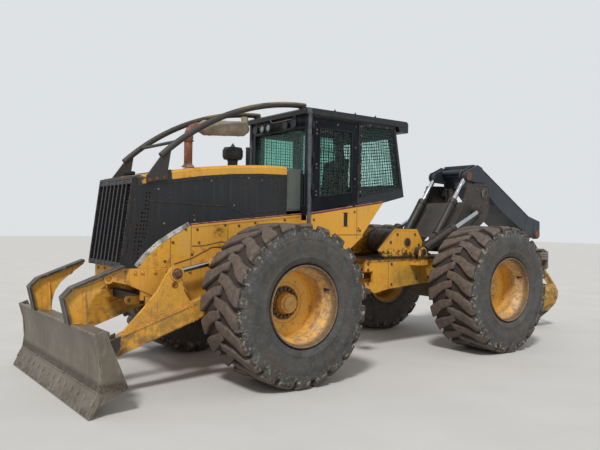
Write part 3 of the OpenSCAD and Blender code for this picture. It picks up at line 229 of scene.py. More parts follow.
def plug(tree: bpy.types.NodeTree, socket: bpy.types.NodeSocket, value: object) -> None:
    """Links a mask or an output to an input, or sets it to a number, a colour or hexadecimal text."""
    value = value.socket if isinstance(value, Mask) else value
    if isinstance(value, bpy.types.NodeSocket):
        tree.links.new(value, socket)
    else:
        socket.default_value = linear(value) if isinstance(value, str) else value


def add(
    tree: bpy.types.NodeTree, kind: str, inputs: Optional[dict] = None, **settings: object
) -> bpy.types.Node:
    """Adds a node, sets it and links it.

    Args:
        tree: the material's node tree.
        kind: the node's type.
        inputs: values, masks or output sockets by the input's name or number.
        settings: the node's own settings.

    Returns:
        The new node.
    """
    node = tree.nodes.new(kind)
    for key, value in settings.items():
        setattr(node, key, value)
    for key, value in (inputs or {}).items():
        plug(tree, node.inputs[key], value)
    return node


@dataclass
class Weave:
    """A material's node tree while a finish is being laid on it, coat over coat."""

    name: str
    colour: object = "#808080"

    def __post_init__(self) -> None:
        """Makes the material with its shader, and reads the object's own coordinates."""
        self.material = bpy.data.materials.new(self.name)
        self.material.use_nodes = True
        self.tree = self.material.node_tree
        self.tree.nodes.clear()
        self.shader = add(self.tree, "ShaderNodeBsdfPrincipled")
        add(self.tree, "ShaderNodeOutputMaterial", {"Surface": self.shader.outputs[0]})
        self.place = self.mask("ShaderNodeTexCoord", "Object")

    def mask(self, kind: str, output: object, inputs: Optional[dict] = None, **settings: object) -> Mask:
        """Output of a new node, as a mask."""
        return Mask(self.tree, add(self.tree, kind, inputs, **settings).outputs[output])

    def stretched(self, x: float, y: float, z: float) -> Mask:
        """The place with each axis scaled, for streaks and brush marks."""
        return self.mask("ShaderNodeMapping", 0, {"Vector": self.place, "Scale": (x, y, z)})

    def patches(
        self, size_mm: float, low: float, high: float, detail: float = 4.0, at: Optional[Mask] = None
    ) -> Mask:
        """Irregular patches.

        Args:
            size_mm: the patches' usual size.
            low: noise value where a patch begins.
            high: noise value where it is full.
            detail: finer steps in its outline.
            at: coordinates, the object's own if left out.

        Returns:
            A mask from 0 to 1.
        """
        inputs = {"Vector": at or self.place, "Scale": 1 / (size_mm * MM), "Detail": detail, "Roughness": 0.6}
        return self.mask("ShaderNodeTexNoise", "Fac", inputs).step(low, high)

    def mix(self, under: object, over: object, mask: object) -> Mask:
        """Colour under, covered by the colour over where the mask is 1."""
        return self.mask("ShaderNodeMix", 2, {0: mask, 6: under, 7: over}, data_type="RGBA")

    def lay(self, colour: object, mask: object, share: float = 1.0) -> None:
        """Lays a colour over the coats so far, where the mask is, as thick as its share."""
        self.colour = self.mix(self.colour, colour, mask if share == 1.0 else mask * share)

    def axis(self, name: str) -> Mask:
        """One coordinate of the place: X, Y or Z."""
        return self.mask("ShaderNodeSeparateXYZ", name, {0: self.place})

    def box(self, **spans: Sequence[float]) -> Mask:
        """Mask of a box.

        Args:
            spans: for each axis its low end, its high end and how soft they are, in millimetres.

        Returns:
            A mask that is 1 inside the box.
        """
        inside = None
        for name, (low, high, soft) in spans.items():
            value, shift = self.axis(name), HINGE_AHEAD if name == "X" else 0.0
            rise = value.step((low + shift - soft) * MM, (low + shift + soft) * MM)
            span = rise * value.step((high + shift + soft) * MM, (high + shift - soft) * MM)
            inside = inside * span if inside else span
        return inside

    def from_axle(self) -> tuple[Mask, Mask, Mask]:
        """How far ahead of, above and away from its axle a place on any wheel is, in metres."""
        ahead = abs(self.axis("X") - HINGE_AHEAD * MM) - WHEEL_X * MM
        above = self.axis("Z") - AXLE_Z * MM
        return ahead, above, ahead.hypot(above)

    def edges(self, radius_mm: float, low: float, high: float) -> Mask:
        """Mask of the outer and inner edges, from how far a rounded normal leaves the flat one."""
        soft = self.mask("ShaderNodeBevel", 0, {"Radius": radius_mm * MM}, samples=4)
        flat = self.mask("ShaderNodeNewGeometry", "Normal")
        both = self.mask("ShaderNodeVectorMath", "Value", {0: soft, 1: flat}, operation="DOT_PRODUCT")
        return both.step(high, low)

    def upward(self, low: float, high: float) -> Mask:
        """Mask of the faces that look up, where dust settles."""
        normal = self.mask("ShaderNodeNewGeometry", "Normal")
        return self.mask("ShaderNodeSeparateXYZ", "Z", {0: normal}).step(low, high)

    def finish(self, rough: object, height: object = None, depth_mm: float = 1.0, **sockets: object) -> None:
        """Plugs the colour, the roughness and the bump into the shader.

        Args:
            rough: roughness, as a mask or a number.
            height: mask that is raised, if any.
            depth_mm: its height.
            sockets: other inputs of the shader by name, with spaces as underscores.
        """
        sockets = {"Base Color": self.colour, "Roughness": rough, **sockets}
        if height is not None:
            inputs = {"Height": height, "Distance": depth_mm * MM, "Strength": 1.0}
            sockets["Normal"] = self.mask("ShaderNodeBump", 0, inputs)
        for key, value in sockets.items():
            plug(self.tree, self.shader.inputs[key.replace("_", " ")], value)


@dataclass(frozen=True)
class Coat:
    """A finish as it is laid on pieces: its material and the record's slot."""

    material: bpy.types.Material
    slot: Slot


@dataclass(frozen=True)
class Finish:
    """How a surface was made and worn."""

    name: str

    def paint(self, w: Weave) -> None:
        """Lays the finish's coats and plugs them in."""
        raise NotImplementedError

    def on(self, slot: Slot) -> Coat:
        """The finish, ready for the pieces of a slot."""
        w = Weave(self.name)
        self.paint(w)
        return Coat(w.material, slot)


@dataclass(frozen=True)
class Enamel(Finish):
    """Sprayed enamel on steel plate, worn by brush and weather.

    The coat is fairly smooth. It chips at the edges down to primer and rust, fades in broad
    patches, and carries dust on what looks up and mud on what is low.
    """

    coat: str
    faded: str
    bare: str
    dirt: str
    chips: float = 0.5
    edge_wear: float = 0.5
    grime: float = 0.4
    mud_below: float = 1100.0
    roughness: float = 0.48

    def paint(self, w: Weave) -> None:
        """Coat, mottling, runs, chips, and the dirt over them."""
        w.colour = w.mix(self.coat, self.faded, w.patches(620, 0.38, 0.68))
        # fine mottling of about 30 mm, as sun and hand spraying leave it
        w.lay(self.faded, w.patches(34, 0.4, 0.75), 0.22)
        # runs of dirty water, 25 mm apart and a third of a metre long
        w.lay(self.dirt, w.patches(25, 0.52, 0.74, at=w.stretched(1.0, 1.0, 0.07)), self.grime * 0.55)
        # chips of 12 mm in worn zones of half a metre, and along edges
        zones = w.patches(480, 0.60 - 0.16 * self.chips, 0.72)
        specks = w.patches(13, 0.66 - 0.10 * self.chips, 0.70 - 0.08 * self.chips, detail=6.0)
        rub = w.edges(9, 0.93, 0.995) * w.patches(55, 0.56 - 0.2 * self.edge_wear, 0.6)
        chipped = zones * specks | rub
        w.lay(w.mix(self.bare, "#6e4a30", w.patches(40, 0.4, 0.65)), chipped)
        self.spots(w)
        # dust on ledges and mud thrown up from the ground
        dust = w.upward(0.35, 0.9) * w.patches(160, 0.35, 0.7)
        low = w.axis("Z").step(self.mud_below * MM, (self.mud_below - 650) * MM)
        cover = (dust | low * w.patches(90, 0.40, 0.62)) * (self.grime * 1.15)
        w.lay(self.dirt, cover)
        rough = self.gloss(w, (chipped | cover) * 0.35 + self.roughness)
        w.finish(rough, w.patches(300, 0.3, 0.7) * 0.8 - chipped, depth_mm=0.9)

    def spots(self, w: Weave) -> None:
        """Lays what single places of a piece have over its coat: nothing on a plain one."""

    def gloss(self, w: Weave, rough: Mask) -> Mask:
        """Roughness where a single place differs: as it is on a plain piece."""
        return rough


@dataclass(frozen=True)
class HoodEnamel(Enamel):
    """Enamel of the hood's top, scorched and rubbed black over its front length."""

    def spots(self, w: Weave) -> None:
        """Black front length, with the coat left in patches."""
        w.lay("#2c2b29", w.box(X=(2777, 3400, 3)) * w.patches(170, 0.37, 0.46, detail=6.0))
        w.lay("#6d4f33", w.box(X=(2440, 2640, 60)) * w.patches(60, 0.46, 0.62), 0.6)


@dataclass(frozen=True)
class SideEnamel(Enamel):
    """Enamel of the lower sheets: a greasy dark smudge, and a bare place that is cleaner."""

    def spots(self, w: Weave) -> None:
        """Smudge behind the front wheel's arch and the cleaner blank ahead of it."""
        w.lay("#2f2c28", w.box(X=(2130, 2270, 45), Z=(1570, 1670, 40)) * w.patches(45, 0.36, 0.56), 0.85)
        w.lay("#c9a862", w.box(X=(2555, 2701, 2), Z=(1373, 1600, 2)) * w.patches(30, 0.40, 0.56), 0.5)
        # brown oil that has run down from the blank towards the cylinder's ears
        dark_cover = w.box(X=(1850, 3150, 60), Z=(1180, 1500, 80)) * w.patches(75, 0.54, 0.68, detail=6.0)
        w.lay("#7a4f2a", dark_cover, 0.6)


@dataclass(frozen=True)
class FrontEnamel(Enamel):
    """Enamel of the front frame: its nose beam is bare and dark."""

    def spots(self, w: Weave) -> None:
        """Dark beam across the nose."""
        w.lay("#3b3029", w.box(X=(2960, 3080, 2), Z=(845, 944, 2), Y=(-510, 510, 2)))


@dataclass(frozen=True)
class RearEnamel(Enamel):
    """Enamel of the rear frame: black on its deck and along the top of its side plates, moss and mud along
    its lower half.
    """

    def spots(self, w: Weave) -> None:
        """Black on what looks up above 1.1 m, in a band and patches from 1215 to 1380 mm high, and a greenish
        stain on the side plates.
        """
        # black over the faces that look up above 1.1 m, and in a band and patches from 1215 to 1380 mm high
        dark_cover = w.upward(0.3, 0.8) * w.axis("Z").step(1.10, 1.16)
        edge = w.box(Z=(1215, 1380, 30)) * w.patches(55, 0.49, 0.56, detail=6.0)
        foot = w.box(Z=(1236, 1292, 10)) * w.patches(90, 0.18, 0.34)
        w.lay("#221f1c", dark_cover | (edge | foot) * 0.9)
        w.lay("#6f6a38", w.box(X=(-1150, -620, 90), Z=(850, 1120, 70)) * w.patches(120, 0.36, 0.60), 0.65)


@dataclass(frozen=True)
class CabEnamel(Enamel):
    """Enamel of the cab: the grab pipes at its front corners are worn to grey."""

    def spots(self, w: Weave) -> None:
        """Grey pipes outside the cab's walls."""
        grip = abs(w.axis("Y")).step(0.6305, 0.6315) * w.box(X=(1029, 1100, 1))
        w.lay(w.mix("#565a61", "#3d4046", w.patches(60, 0.4, 0.6)), grip)


@dataclass(frozen=True)
class DoorEnamel(Enamel):
    """Enamel of a cab door, with the green pane that is set in the same piece."""

    def pane(self, w: Weave) -> Mask:
        """Mask of the pane between the frame's inner edges."""
        across = abs(w.axis("Y"))
        thick = across.step(0.5990, 0.5995) * across.step(0.6070, 0.6065)
        return thick * w.box(X=(362, 878, 1), Z=(2040, 2893, 1))

    def spots(self, w: Weave) -> None:
        """Green tint of the pane."""
        w.lay("#b4e3d6", self.pane(w))

    def gloss(self, w: Weave, rough: Mask) -> Mask:
        """Clear and smooth pane."""
        clear = self.pane(w) * 0.96
        plug(w.tree, w.shader.inputs["Transmission Weight"], clear)
        w.shader.inputs["IOR"].default_value = 1.2
        return rough * ~clear


@dataclass(frozen=True)
class GuardEnamel(Enamel):
    """Enamel of the brush guard, rubbed to ochre by branches where its bars meet the roof."""

    def spots(self, w: Weave) -> None:
        """Ochre rub marks on the upper side of the bars."""
        rub = w.box(X=(1080, 1900, 150)) * w.upward(0.1, 0.6)
        w.lay("#9a7a45", rub * w.patches(120, 0.40, 0.52, at=w.stretched(0.4, 1.0, 1.0)), 0.8)


@dataclass(frozen=True)
class BareSteel(Finish):
    """Plate worn to bright grey by earth, with long scratches, dried mud and thin rust."""

    clean: str = "#766e61"
    dull: str = "#61594d"
    mud: str = "#4c4036"
    rust: str = "#80583a"
    roughness: float = 0.55
    grit_low: float = 215.0
    grit_high: float = 300.0

    def paint(self, w: Weave) -> None:
        """Plate, scratches, rust, grit and rubbed edges."""
        w.colour = w.mix(self.clean, self.dull, w.patches(420, 0.35, 0.66))
        # scratches 12 mm apart and some 300 mm long, along the way the earth slides
        marks = w.patches(12, 0.54, 0.72, detail=2.0, at=w.stretched(0.12, 1.0, 0.04))
        w.lay("#a39b8e", marks, 0.38)
        w.lay(self.rust, w.patches(90, 0.62, 0.74), 0.5)
        # grit of 14 mm lies along the upper rim of the cutting edge, a little of it below
        strip = w.box(Z=(self.grit_low, self.grit_high, 22)) * w.patches(14, 0.38, 0.52)
        grit = strip | w.axis("Z").step(0.12, 0.02) * w.patches(60, 0.44, 0.60, detail=6.0)
        w.lay(self.mud, grit, 0.8)
        w.lay("#b3a791", w.edges(9, 0.93, 0.995) * w.patches(60, 0.36, 0.5), 0.6)
        w.finish(grit * 0.3 + self.roughness, marks * 0.25 + grit * 2.5, depth_mm=1.2, Metallic=0.25)


@dataclass(frozen=True)
class Rubber(Finish):
    """Moulded tyre rubber: brown dried mud on the tread, scuffed grey on the sidewalls."""

    def paint(self, w: Weave) -> None:
        """Sidewall, tread with darker grooves between its lugs, and the pale torn clumps between sidewall and
        tread.
        """
        ahead, above, radius = w.from_axle()
        turn = w.mask("ShaderNodeCombineXYZ", 0, {0: ahead / radius, 1: above / radius, 2: radius * 0.5})
        w.colour = w.mix("#403f3d", "#525250", w.patches(150, 0.35, 0.65))
        w.lay("#54483e", w.patches(210, 0.46, 0.66), 0.55)
        # scuffs that run outwards over the sidewall, about 20 mm wide
        w.lay("#73716b", w.patches(28, 0.52, 0.72, at=turn), 0.42)
        mud = w.mix("#54483f", "#6f6156", w.patches(60, 0.35, 0.7))
        # the casing in the grooves between the lugs is darker
        mud = w.mix(mud, "#3a302a", radius.step(0.845, 0.82))
        across = abs(abs(w.axis("Y")) - WHEEL_MID * MM)
        tread = across.step(0.368, 0.335) * radius.step(0.66, 0.74)
        tread = tread | (radius.step(0.79, 0.83) | w.axis("Z").step(0.10, 0.02))
        uneven = tread + (w.patches(50, 0.3, 0.7) - 0.5) * 0.35
        w.lay(mud, uneven.step(0.35, 0.65))
        # pale torn clumps of 45 mm along the shoulder
        shoulder = radius.step(0.70, 0.78) * radius.step(0.85, 0.81) * across.step(0.30, 0.34)
        torn = shoulder * w.patches(48, 0.53, 0.62, detail=6.0)
        w.lay("#a09889", torn, 0.8)
        w.finish(0.86, w.patches(22, 0.35, 0.7) + torn * 1.5, depth_mm=2.2)


@dataclass(frozen=True)
class RimPaint(Finish):
    """Enamel on a pressed wheel: bright on the disc, brightened further as painted sunlight, sandy and rusted
    on the well around it.
    """

    def paint(self, w: Weave) -> None:
        """Disc, well, hub, painted shade between the nuts, and lip."""
        across = abs(w.axis("Y"))
        radius = w.from_axle()[2]
        # painted light: the disc's yellow is raised to a sunlit brightness over its paint colour
        w.colour = w.mix("#ecb448", "#e0ad58", w.patches(240, 0.4, 0.7))
        sand = w.mix("#c9a36c", "#a37f55", w.patches(38, 0.42, 0.6))
        w.lay(sand, across.step(1.19, 1.30) * w.patches(120, 0.25, 0.5))
        rust = w.patches(60, 0.58, 0.68, detail=6.0)
        w.lay("#80552f", rust, 0.55)
        w.lay("#7a5a34", across.step(1.175, 1.155) * radius.step(0.195, 0.17), 0.55)
        # painted shade between the nuts, in dark brown
        nuts = radius.step(0.118, 0.126) * radius.step(0.186, 0.176)
        w.lay("#2f261d", nuts * (across.step(1.185, 1.165) * w.patches(45, 0.22, 0.40)), 0.85)
        # the lip beside the tyre is brown with earth and rust
        w.lay("#5e4a38", radius.step(0.392, 0.404) * w.patches(55, 0.15, 0.40), 0.8)
        w.lay("#8d8172", w.edges(7, 0.93, 0.995) * w.patches(40, 0.42, 0.55))
        w.finish(rust * 0.3 + 0.5, rust, depth_mm=1.0)


@dataclass(frozen=True)
class Chrome(Finish):
    """Hard chrome on a ground piston rod, with an oily cast eye at its end.

    The eyes are found by their pins' places in x and z.
    """

    eyes: tuple[Flat, ...] = (LIFT_EYE, ARCH_EYE, BOOM_EYE)
    eye_r: float = 92.0

    def paint(self, w: Weave) -> None:
        """Rod with its oil film, and the cast eyes."""
        film = w.patches(90, 0.5, 0.7)
        w.colour = w.mix("#b9bcbf", "#7f7b74", film * 0.4)
        eye = film * 0.0
        for x, z in self.eyes:
            away = (w.axis("X") - (x + HINGE_AHEAD) * MM).hypot(w.axis("Z") - z * MM)
            eye = eye | away.step(self.eye_r * MM, (self.eye_r - 3) * MM)
        w.lay(w.mix("#2b2824", "#4a4034", w.patches(30, 0.4, 0.6)), eye)
        w.finish(film * 0.25 + (eye * 0.45 + 0.14), Metallic=~eye)


@dataclass(frozen=True)
class TintedGlass(Finish):
    """Toughened glass with a green tint, dusty towards its lower edge."""

    def paint(self, w: Weave) -> None:
        """Clear pane with a little dust."""
        dust = w.patches(200, 0.46, 0.72) * 0.25
        w.colour = w.mix("#b4e3d6", "#8ba39d", dust)
        w.finish(dust * 0.2 + 0.02, Transmission_Weight=0.96, IOR=1.2)


@dataclass(frozen=True)
class Moulded(Finish):
    """Moulded plastic, rubber or vinyl with a fine grain of a given size."""

    colour: str
    worn: str
    grain_mm: float = 4.0
    roughness: float = 0.6

    def paint(self, w: Weave) -> None:
        """Worn colour and grain."""
        w.colour = w.mix(self.colour, self.worn, w.patches(90, 0.4, 0.7))
        w.finish(self.roughness, w.patches(self.grain_mm, 0.35, 0.65), depth_mm=0.4)


@dataclass(frozen=True)
class ScaledSteel(Finish):
    """Mild steel that has been hot: orange and brown scale with pale burnt spots."""

    main: str
    scale: str
    pale: str

    def paint(self, w: Weave) -> None:
        """Scale, burnt spots and pits."""
        w.colour = w.mix(self.main, self.scale, w.patches(110, 0.38, 0.64))
        w.lay(self.pale, w.patches(30, 0.55, 0.7), 0.7)
        pits = w.patches(9, 0.45, 0.7)
        w.finish(pits * 0.15 + 0.68, pits, depth_mm=0.8)


@dataclass(frozen=True)
class ExhaustSteel(Finish):
    """Steel of the exhaust: a rusted riser pipe and an aluminised muffler, which stays pale."""

    def paint(self, w: Weave) -> None:
        """Pale muffler, rusted riser and its dusty foot."""
        riser = w.mix("#8f5539", "#6b4433", w.patches(110, 0.38, 0.62))
        riser = w.mix(riser, "#b08a6d", w.patches(26, 0.55, 0.68) * 0.7)
        w.colour = w.mix("#a0947f", "#857966", w.patches(150, 0.38, 0.64))
        w.lay("#8a5f42", w.patches(34, 0.58, 0.70), 0.7)
        w.lay(riser, w.box(X=(2405, 2700, 20)))
        w.lay("#b9a88f", w.box(Z=(2100, 2360, 6)) * w.patches(60, 0.3, 0.5), 0.7)
        pits = w.patches(9, 0.45, 0.7)
        w.finish(pits * 0.15 + 0.64, pits, depth_mm=0.8)


@dataclass(frozen=True)
class WornBand(Finish):
    """Adhesive film or sprayed band, weathered through in specks to what is below it."""

    colour: str
    under: str
    speck_mm: float = 16.0
    bare_share: float = 0.5

    def paint(self, w: Weave) -> None:
        """Film and the specks where it is gone."""
        w.colour = w.mix(self.colour, self.under, w.patches(90, 0.4, 0.7))
        begin = 0.74 - 0.3 * self.bare_share
        specks = w.patches(self.speck_mm, begin, begin + 0.04, detail=6.0)
        w.lay(self.under, specks)
        w.finish(0.55, specks, depth_mm=0.4)


@dataclass(frozen=True)
class Glow(Finish):
    """Clear lamp lens over a bright reflector, its grey darkened as painted shade."""

    colour: str

    def paint(self, w: Weave) -> None:
        """Lens with its upright ribs."""
        ribs = w.patches(14, 0.4, 0.6, detail=0.0, at=w.stretched(0.1, 1.0, 0.1))
        w.colour = w.mix(self.colour, "#8d9196", ribs * 0.3)
        w.finish(0.12, ribs, depth_mm=0.6, Coat_Weight=0.6)


class Finishes:
    """All finishes of the machine, each made once."""

    def __init__(self) -> None:
        """Makes the materials."""
        yellow = dict(coat="#e6a52f", faded="#d8a245", dirt="#6b5843")
        sheet = dict(bare="#77552f", chips=0.55, edge_wear=0.55, grime=0.4, **yellow)
        beam = dict(bare="#6f5840", chips=0.9, edge_wear=0.9, grime=0.75, **yellow)
        self.hood = HoodEnamel("yellow_hood_enamel", **sheet).on(Slot.YELLOW)
        self.sheet = SideEnamel("yellow_sheet_enamel", **sheet).on(Slot.YELLOW)
        self.frame = FrontEnamel("yellow_frame_enamel", **beam).on(Slot.YELLOW)
        self.rear = RearEnamel("yellow_deck_enamel", **beam).on(Slot.YELLOW)
        # coats of dark enamel: coat, faded, bare, dirt, chips, edge wear, grime, mud below, roughness
        hood = ("#121316", "#1b1d20", "#4c4a46", "#5d564d", 0.7, 0.5, 0.30, 900.0, 0.45)
        cab = ("#101318", "#191d24", "#4d4841", "#57524a", 0.35, 0.45, 0.22, 900.0, 0.42)
        boom = ("#252b33", "#303740", "#6e6254", "#57524a", 0.45, 0.7, 0.35, 900.0, 0.46)
        arch = ("#302e2b", "#3d3a36", "#6e5a48", "#5d5348", 0.8, 0.8, 0.6, 900.0, 0.56)
        guard = ("#2e2c29", "#3a3733", "#7c6444", "#5d5348", 0.9, 0.9, 0.4, 900.0, 0.55)
        oily = ("#26241f", "#38342d", "#5b4c3d", "#4f4437", 0.8, 0.6, 0.8, 1500.0, 0.5)
        self.black = Enamel("black_hood_enamel", *hood).on(Slot.BLACK)
        self.navy = CabEnamel("dark_cab_enamel", *cab).on(Slot.BLACK)
        self.door = DoorEnamel("dark_door_enamel", *cab).on(Slot.BLACK)
        self.slate = Enamel("slate_boom_enamel", *boom).on(Slot.BLACK)
        self.charcoal = Enamel("charcoal_arch_enamel", *arch).on(Slot.BLACK)
        self.guard = GuardEnamel("rubbed_guard_enamel", *guard).on(Slot.BLACK)
        self.oily = Enamel("oily_black_enamel", *oily).on(Slot.BLACK)
        # coats of pale enamel and cast iron, in the same order
        box = ("#59615a", "#6a7069", "#3f3c36", "#5d5548", 0.6, 0.5, 0.5, 900.0, 0.55)
        iron = ("#4d4840", "#5c554a", "#6d5138", "#5a4c3e", 0.7, 0.5, 1.0, 1400.0, 0.62)
        lime = ("#b5a94f", "#9b9660", "#6a5238", "#6f6457", 0.9, 0.9, 0.7, 1700.0, 0.58)
        tong = ("#c8963a", "#b5904a", "#70492c", "#66574a", 1.0, 1.0, 0.8, 1400.0, 0.58)
        self.moss = Enamel("grey_green_enamel", *box).on(Slot.CAST)
        self.cast = Enamel("cast_iron", *iron).on(Slot.CAST)
        self.lime = Enamel("faded_grapple_enamel", *lime).on(Slot.GRAPPLE)
        self.tong = Enamel("worn_tong_enamel", *tong).on(Slot.GRAPPLE)
        # bare steel: clean, dull, mud, rust, roughness
        head = ("#8b857b", "#736b60", "#5a4d41", "#7a5535", 0.7)
        edge = ("#494139", "#302a25", "#332b24", "#5c4330", 0.5)
        self.head = BareSteel("dusty_grapple_steel", *head).on(Slot.CAST)
        self.blade = BareSteel("scoured_blade_steel").on(Slot.WORN)
        self.edge = BareSteel("worn_strip_steel", *edge).on(Slot.WORN)
        self.rubber = Rubber("tyre_rubber").on(Slot.TYRE)
        self.rim = RimPaint("wheel_enamel").on(Slot.RIM)
        self.chrome = Chrome("ground_chrome").on(Slot.CHROME)
        self.glass = TintedGlass("tinted_glass").on(Slot.GLASS)
        self.plastic = Moulded("moulded_black_abs", "#202022", "#2f3031").on(Slot.PLASTIC)
        self.gasket = Moulded("window_rubber", "#17181a", "#232425", 3.0, 0.75).on(Slot.DARK)
        self.vinyl = Moulded("grained_seat_vinyl", "#2a2b2d", "#3b3b3b", 3.0, 0.55).on(Slot.SEAT)
        self.rusty = ScaledSteel("rusted_mild_steel", "#7a4a31", "#5b3c2b", "#98735a").on(Slot.DARK)
        self.exhaust = ExhaustSteel("exhaust_steel").on(Slot.EXHAUST)
        # the lens grey is darkened as painted shade, for lamps that sit in the shade of the roof's edges
        self.lens = Glow("clear_lens", "#7f868b").on(Slot.GLASS)
        self.red = WornBand("dark_red_film", "#7a222b", "#4a2b26", 20.0, 0.25).on(Slot.PLASTIC)
        self.white = WornBand("sprayed_white_band", "#dedbd3", "#4b4744", 17.0, 0.42).on(Slot.PLASTIC)
        self.pink = WornBand("faded_pink_film", "#c59a93", "#7a3a38", 24.0, 0.5).on(Slot.PLASTIC)


# Modelling


def clear_selection() -> None:
    """Leaves edit mode and deselects everything."""
    if bpy.context.mode != "OBJECT":
        bpy.ops.object.mode_set(mode="OBJECT")
    bpy.ops.object.select_all(action="DESELECT")


def activate(obj: Piece) -> None:
    """Makes one object the only selected and the active one."""
    clear_selection()
    obj.select_set(True)
    bpy.context.view_layer.objects.active = obj


def edit_all(obj: Piece) -> None:
    """Enters edit mode with all of the piece selected."""
    activate(obj)
    bpy.ops.object.mode_set(mode="EDIT")
    bpy.ops.mesh.select_all(action="SELECT")


def apply(obj: Piece, modifier: bpy.types.Modifier) -> None:
    """Applies a modifier of a piece."""
    activate(obj)
    bpy.ops.object.modifier_apply(modifier=modifier.name)


def settle(obj: Piece) -> Piece:
    """Puts an object's place, turn and size into its mesh."""
    activate(obj)
    bpy.ops.object.transform_apply(location=True, rotation=True, scale=True)
    return obj


def moved(obj: Piece, place: Matrix) -> Piece:
    """Moves a piece's mesh by a matrix, with its faces looking outwards after a mirroring too."""
    obj.data.transform(place)
    if place.determinant() < 0:
        obj.data.flip_normals()
    return obj


def copied(obj: Piece, place: Matrix) -> Piece:
    """Copy of a piece with its own mesh, moved by a matrix."""
    twin = obj.copy()
    twin.data = obj.data.copy()
    bpy.context.scene.collection.objects.link(twin)
    return moved(twin, place)


def facing(way: Vector, place: Point) -> Matrix:
    """Matrix that turns the z axis to a way and moves the origin to a place in millimetres."""
    return Matrix.Translation(spot(*place)) @ way.to_track_quat("Z", "Y").to_matrix().to_4x4()


def round_edges(obj: Piece, width: float, angle: float = 35.0) -> Piece:
    """Bevels the sharp edges of a piece.

    Args:
        obj: the piece.
        width: width of the bevel in millimetres.
        angle: edges sharper than this are bevelled.

    Returns:
        The piece.
    """
    if width > 0:
        bevel = obj.modifiers.new("edges", "BEVEL")
        bevel.width = width * MM
        bevel.segments = 2
        bevel.limit_method = "ANGLE"
        bevel.angle_limit = math.radians(angle)
        apply(obj, bevel)
    return obj


def soften(obj: Piece, angle: float = 35.0) -> Piece:
    """Shades a piece smooth where its faces meet flatter than the angle."""
    activate(obj)
    bpy.ops.object.shade_smooth_by_angle(angle=math.radians(angle))
    return obj


def block(low: Point, high: Point, bevel: float = 3.0) -> Piece:
    """Block with rounded edges between two corners in millimetres."""
    clear_selection()
    a, b = spot(*low), spot(*high)
    bpy.ops.mesh.primitive_cube_add(size=1.0, location=(a + b) / 2, scale=b - a)
    return round_edges(settle(bpy.context.active_object), bevel)


def block_at(centre: Point, half: float) -> Piece:
    """Small block round a place."""
    return block([c - half for c in centre], [c + half for c in centre], 2)


def plate(
    outline: Sequence[Flat], start: float, end: float, bevel: float = 2.0, plane: Plane = Plane.SIDE
) -> Piece:
    """Flat plate from an outline: one corner of a disc for each point, then extruded.

    Args:
        outline: corners in the plane, in millimetres.
        start: where the plate begins across the plane.
        end: where it ends.
        bevel: width of its rounded edges.
        plane: the plane of the outline.

    Returns:
        The piece.
    """
    clear_selection()
    bpy.ops.mesh.primitive_circle_add(vertices=len(outline), fill_type="NGON")
    obj = bpy.context.active_object
    for vertex, corner in zip(obj.data.vertices, outline):
        place = list(corner)
        place.insert(plane.value, start)
        vertex.co = spot(*place)
    push = Vector()
    push[plane.value] = (end - start) * MM
    edit_all(obj)
    bpy.ops.mesh.extrude_region_move(TRANSFORM_OT_translate={"value": push})
    bpy.ops.mesh.select_all(action="SELECT")
    bpy.ops.mesh.normals_make_consistent(inside=False)
    bpy.ops.object.mode_set(mode="OBJECT")
    return round_edges(obj, bevel)


def bar(start: Point, end: Point, radius: float, sides: int = 24, bevel: float = 2.0) -> Piece:
    """Round or many-sided bar between two points in millimetres."""
    clear_selection()
    a, b = spot(*start), spot(*end)
    turn = (b - a).to_track_quat("Z", "Y").to_euler()
    bpy.ops.mesh.primitive_cylinder_add(
        vertices=sides, radius=radius * MM, depth=(b - a).length, location=(a + b) / 2, rotation=turn
    )
    return round_edges(settle(bpy.context.active_object), bevel, 50.0)


def bars(points: Sequence[Point], radius: float, sides: int = 10) -> list[Piece]:
    """Straight bars from point to point."""
    return [bar(a, b, radius, sides, 0) for a, b in zip(points, points[1:])]


def beads(y: float, line: Sequence[Flat], radius: float) -> list[Piece]:
    """Weld bead or rod along a line in x and z, at a distance from the centre plane."""
    return bars([(x, y, z) for x, z in line], radius)


def ring(centre: Point, along: Vector, major: float, minor: float) -> Piece:
    """Ring round an axis, as a clamp or a weld bead."""
    clear_selection()
    bpy.ops.mesh.primitive_torus_add(
        major_segments=40,
        minor_segments=8,
        major_radius=major * MM,
        minor_radius=minor * MM,
        location=spot(*centre),
        rotation=along.to_track_quat("Z", "Y").to_euler(),
    )
    return settle(bpy.context.active_object)


def pipe(points: Sequence[Point], radius: float) -> Piece:
    """Bent tube through five or more points in millimetres, made of a curve and turned into a mesh."""
    clear_selection()
    bpy.ops.curve.primitive_nurbs_path_add()
    obj = bpy.context.active_object
    obj.location = (0, 0, 0)
    spline = obj.data.splines[0]
    if len(points) > len(spline.points):
        spline.points.add(len(points) - len(spline.points))
    for target, point in zip(spline.points, points):
        target.co = (*spot(*point), 1.0)
    spline.order_u = 3
    spline.use_endpoint_u = True
    obj.data.bevel_depth = radius * MM
    obj.data.bevel_resolution = 3
    obj.data.resolution_u = 6
    obj.data.use_fill_caps = True
    activate(obj)
    bpy.ops.object.convert(target="MESH")
    return settle(bpy.context.active_object)


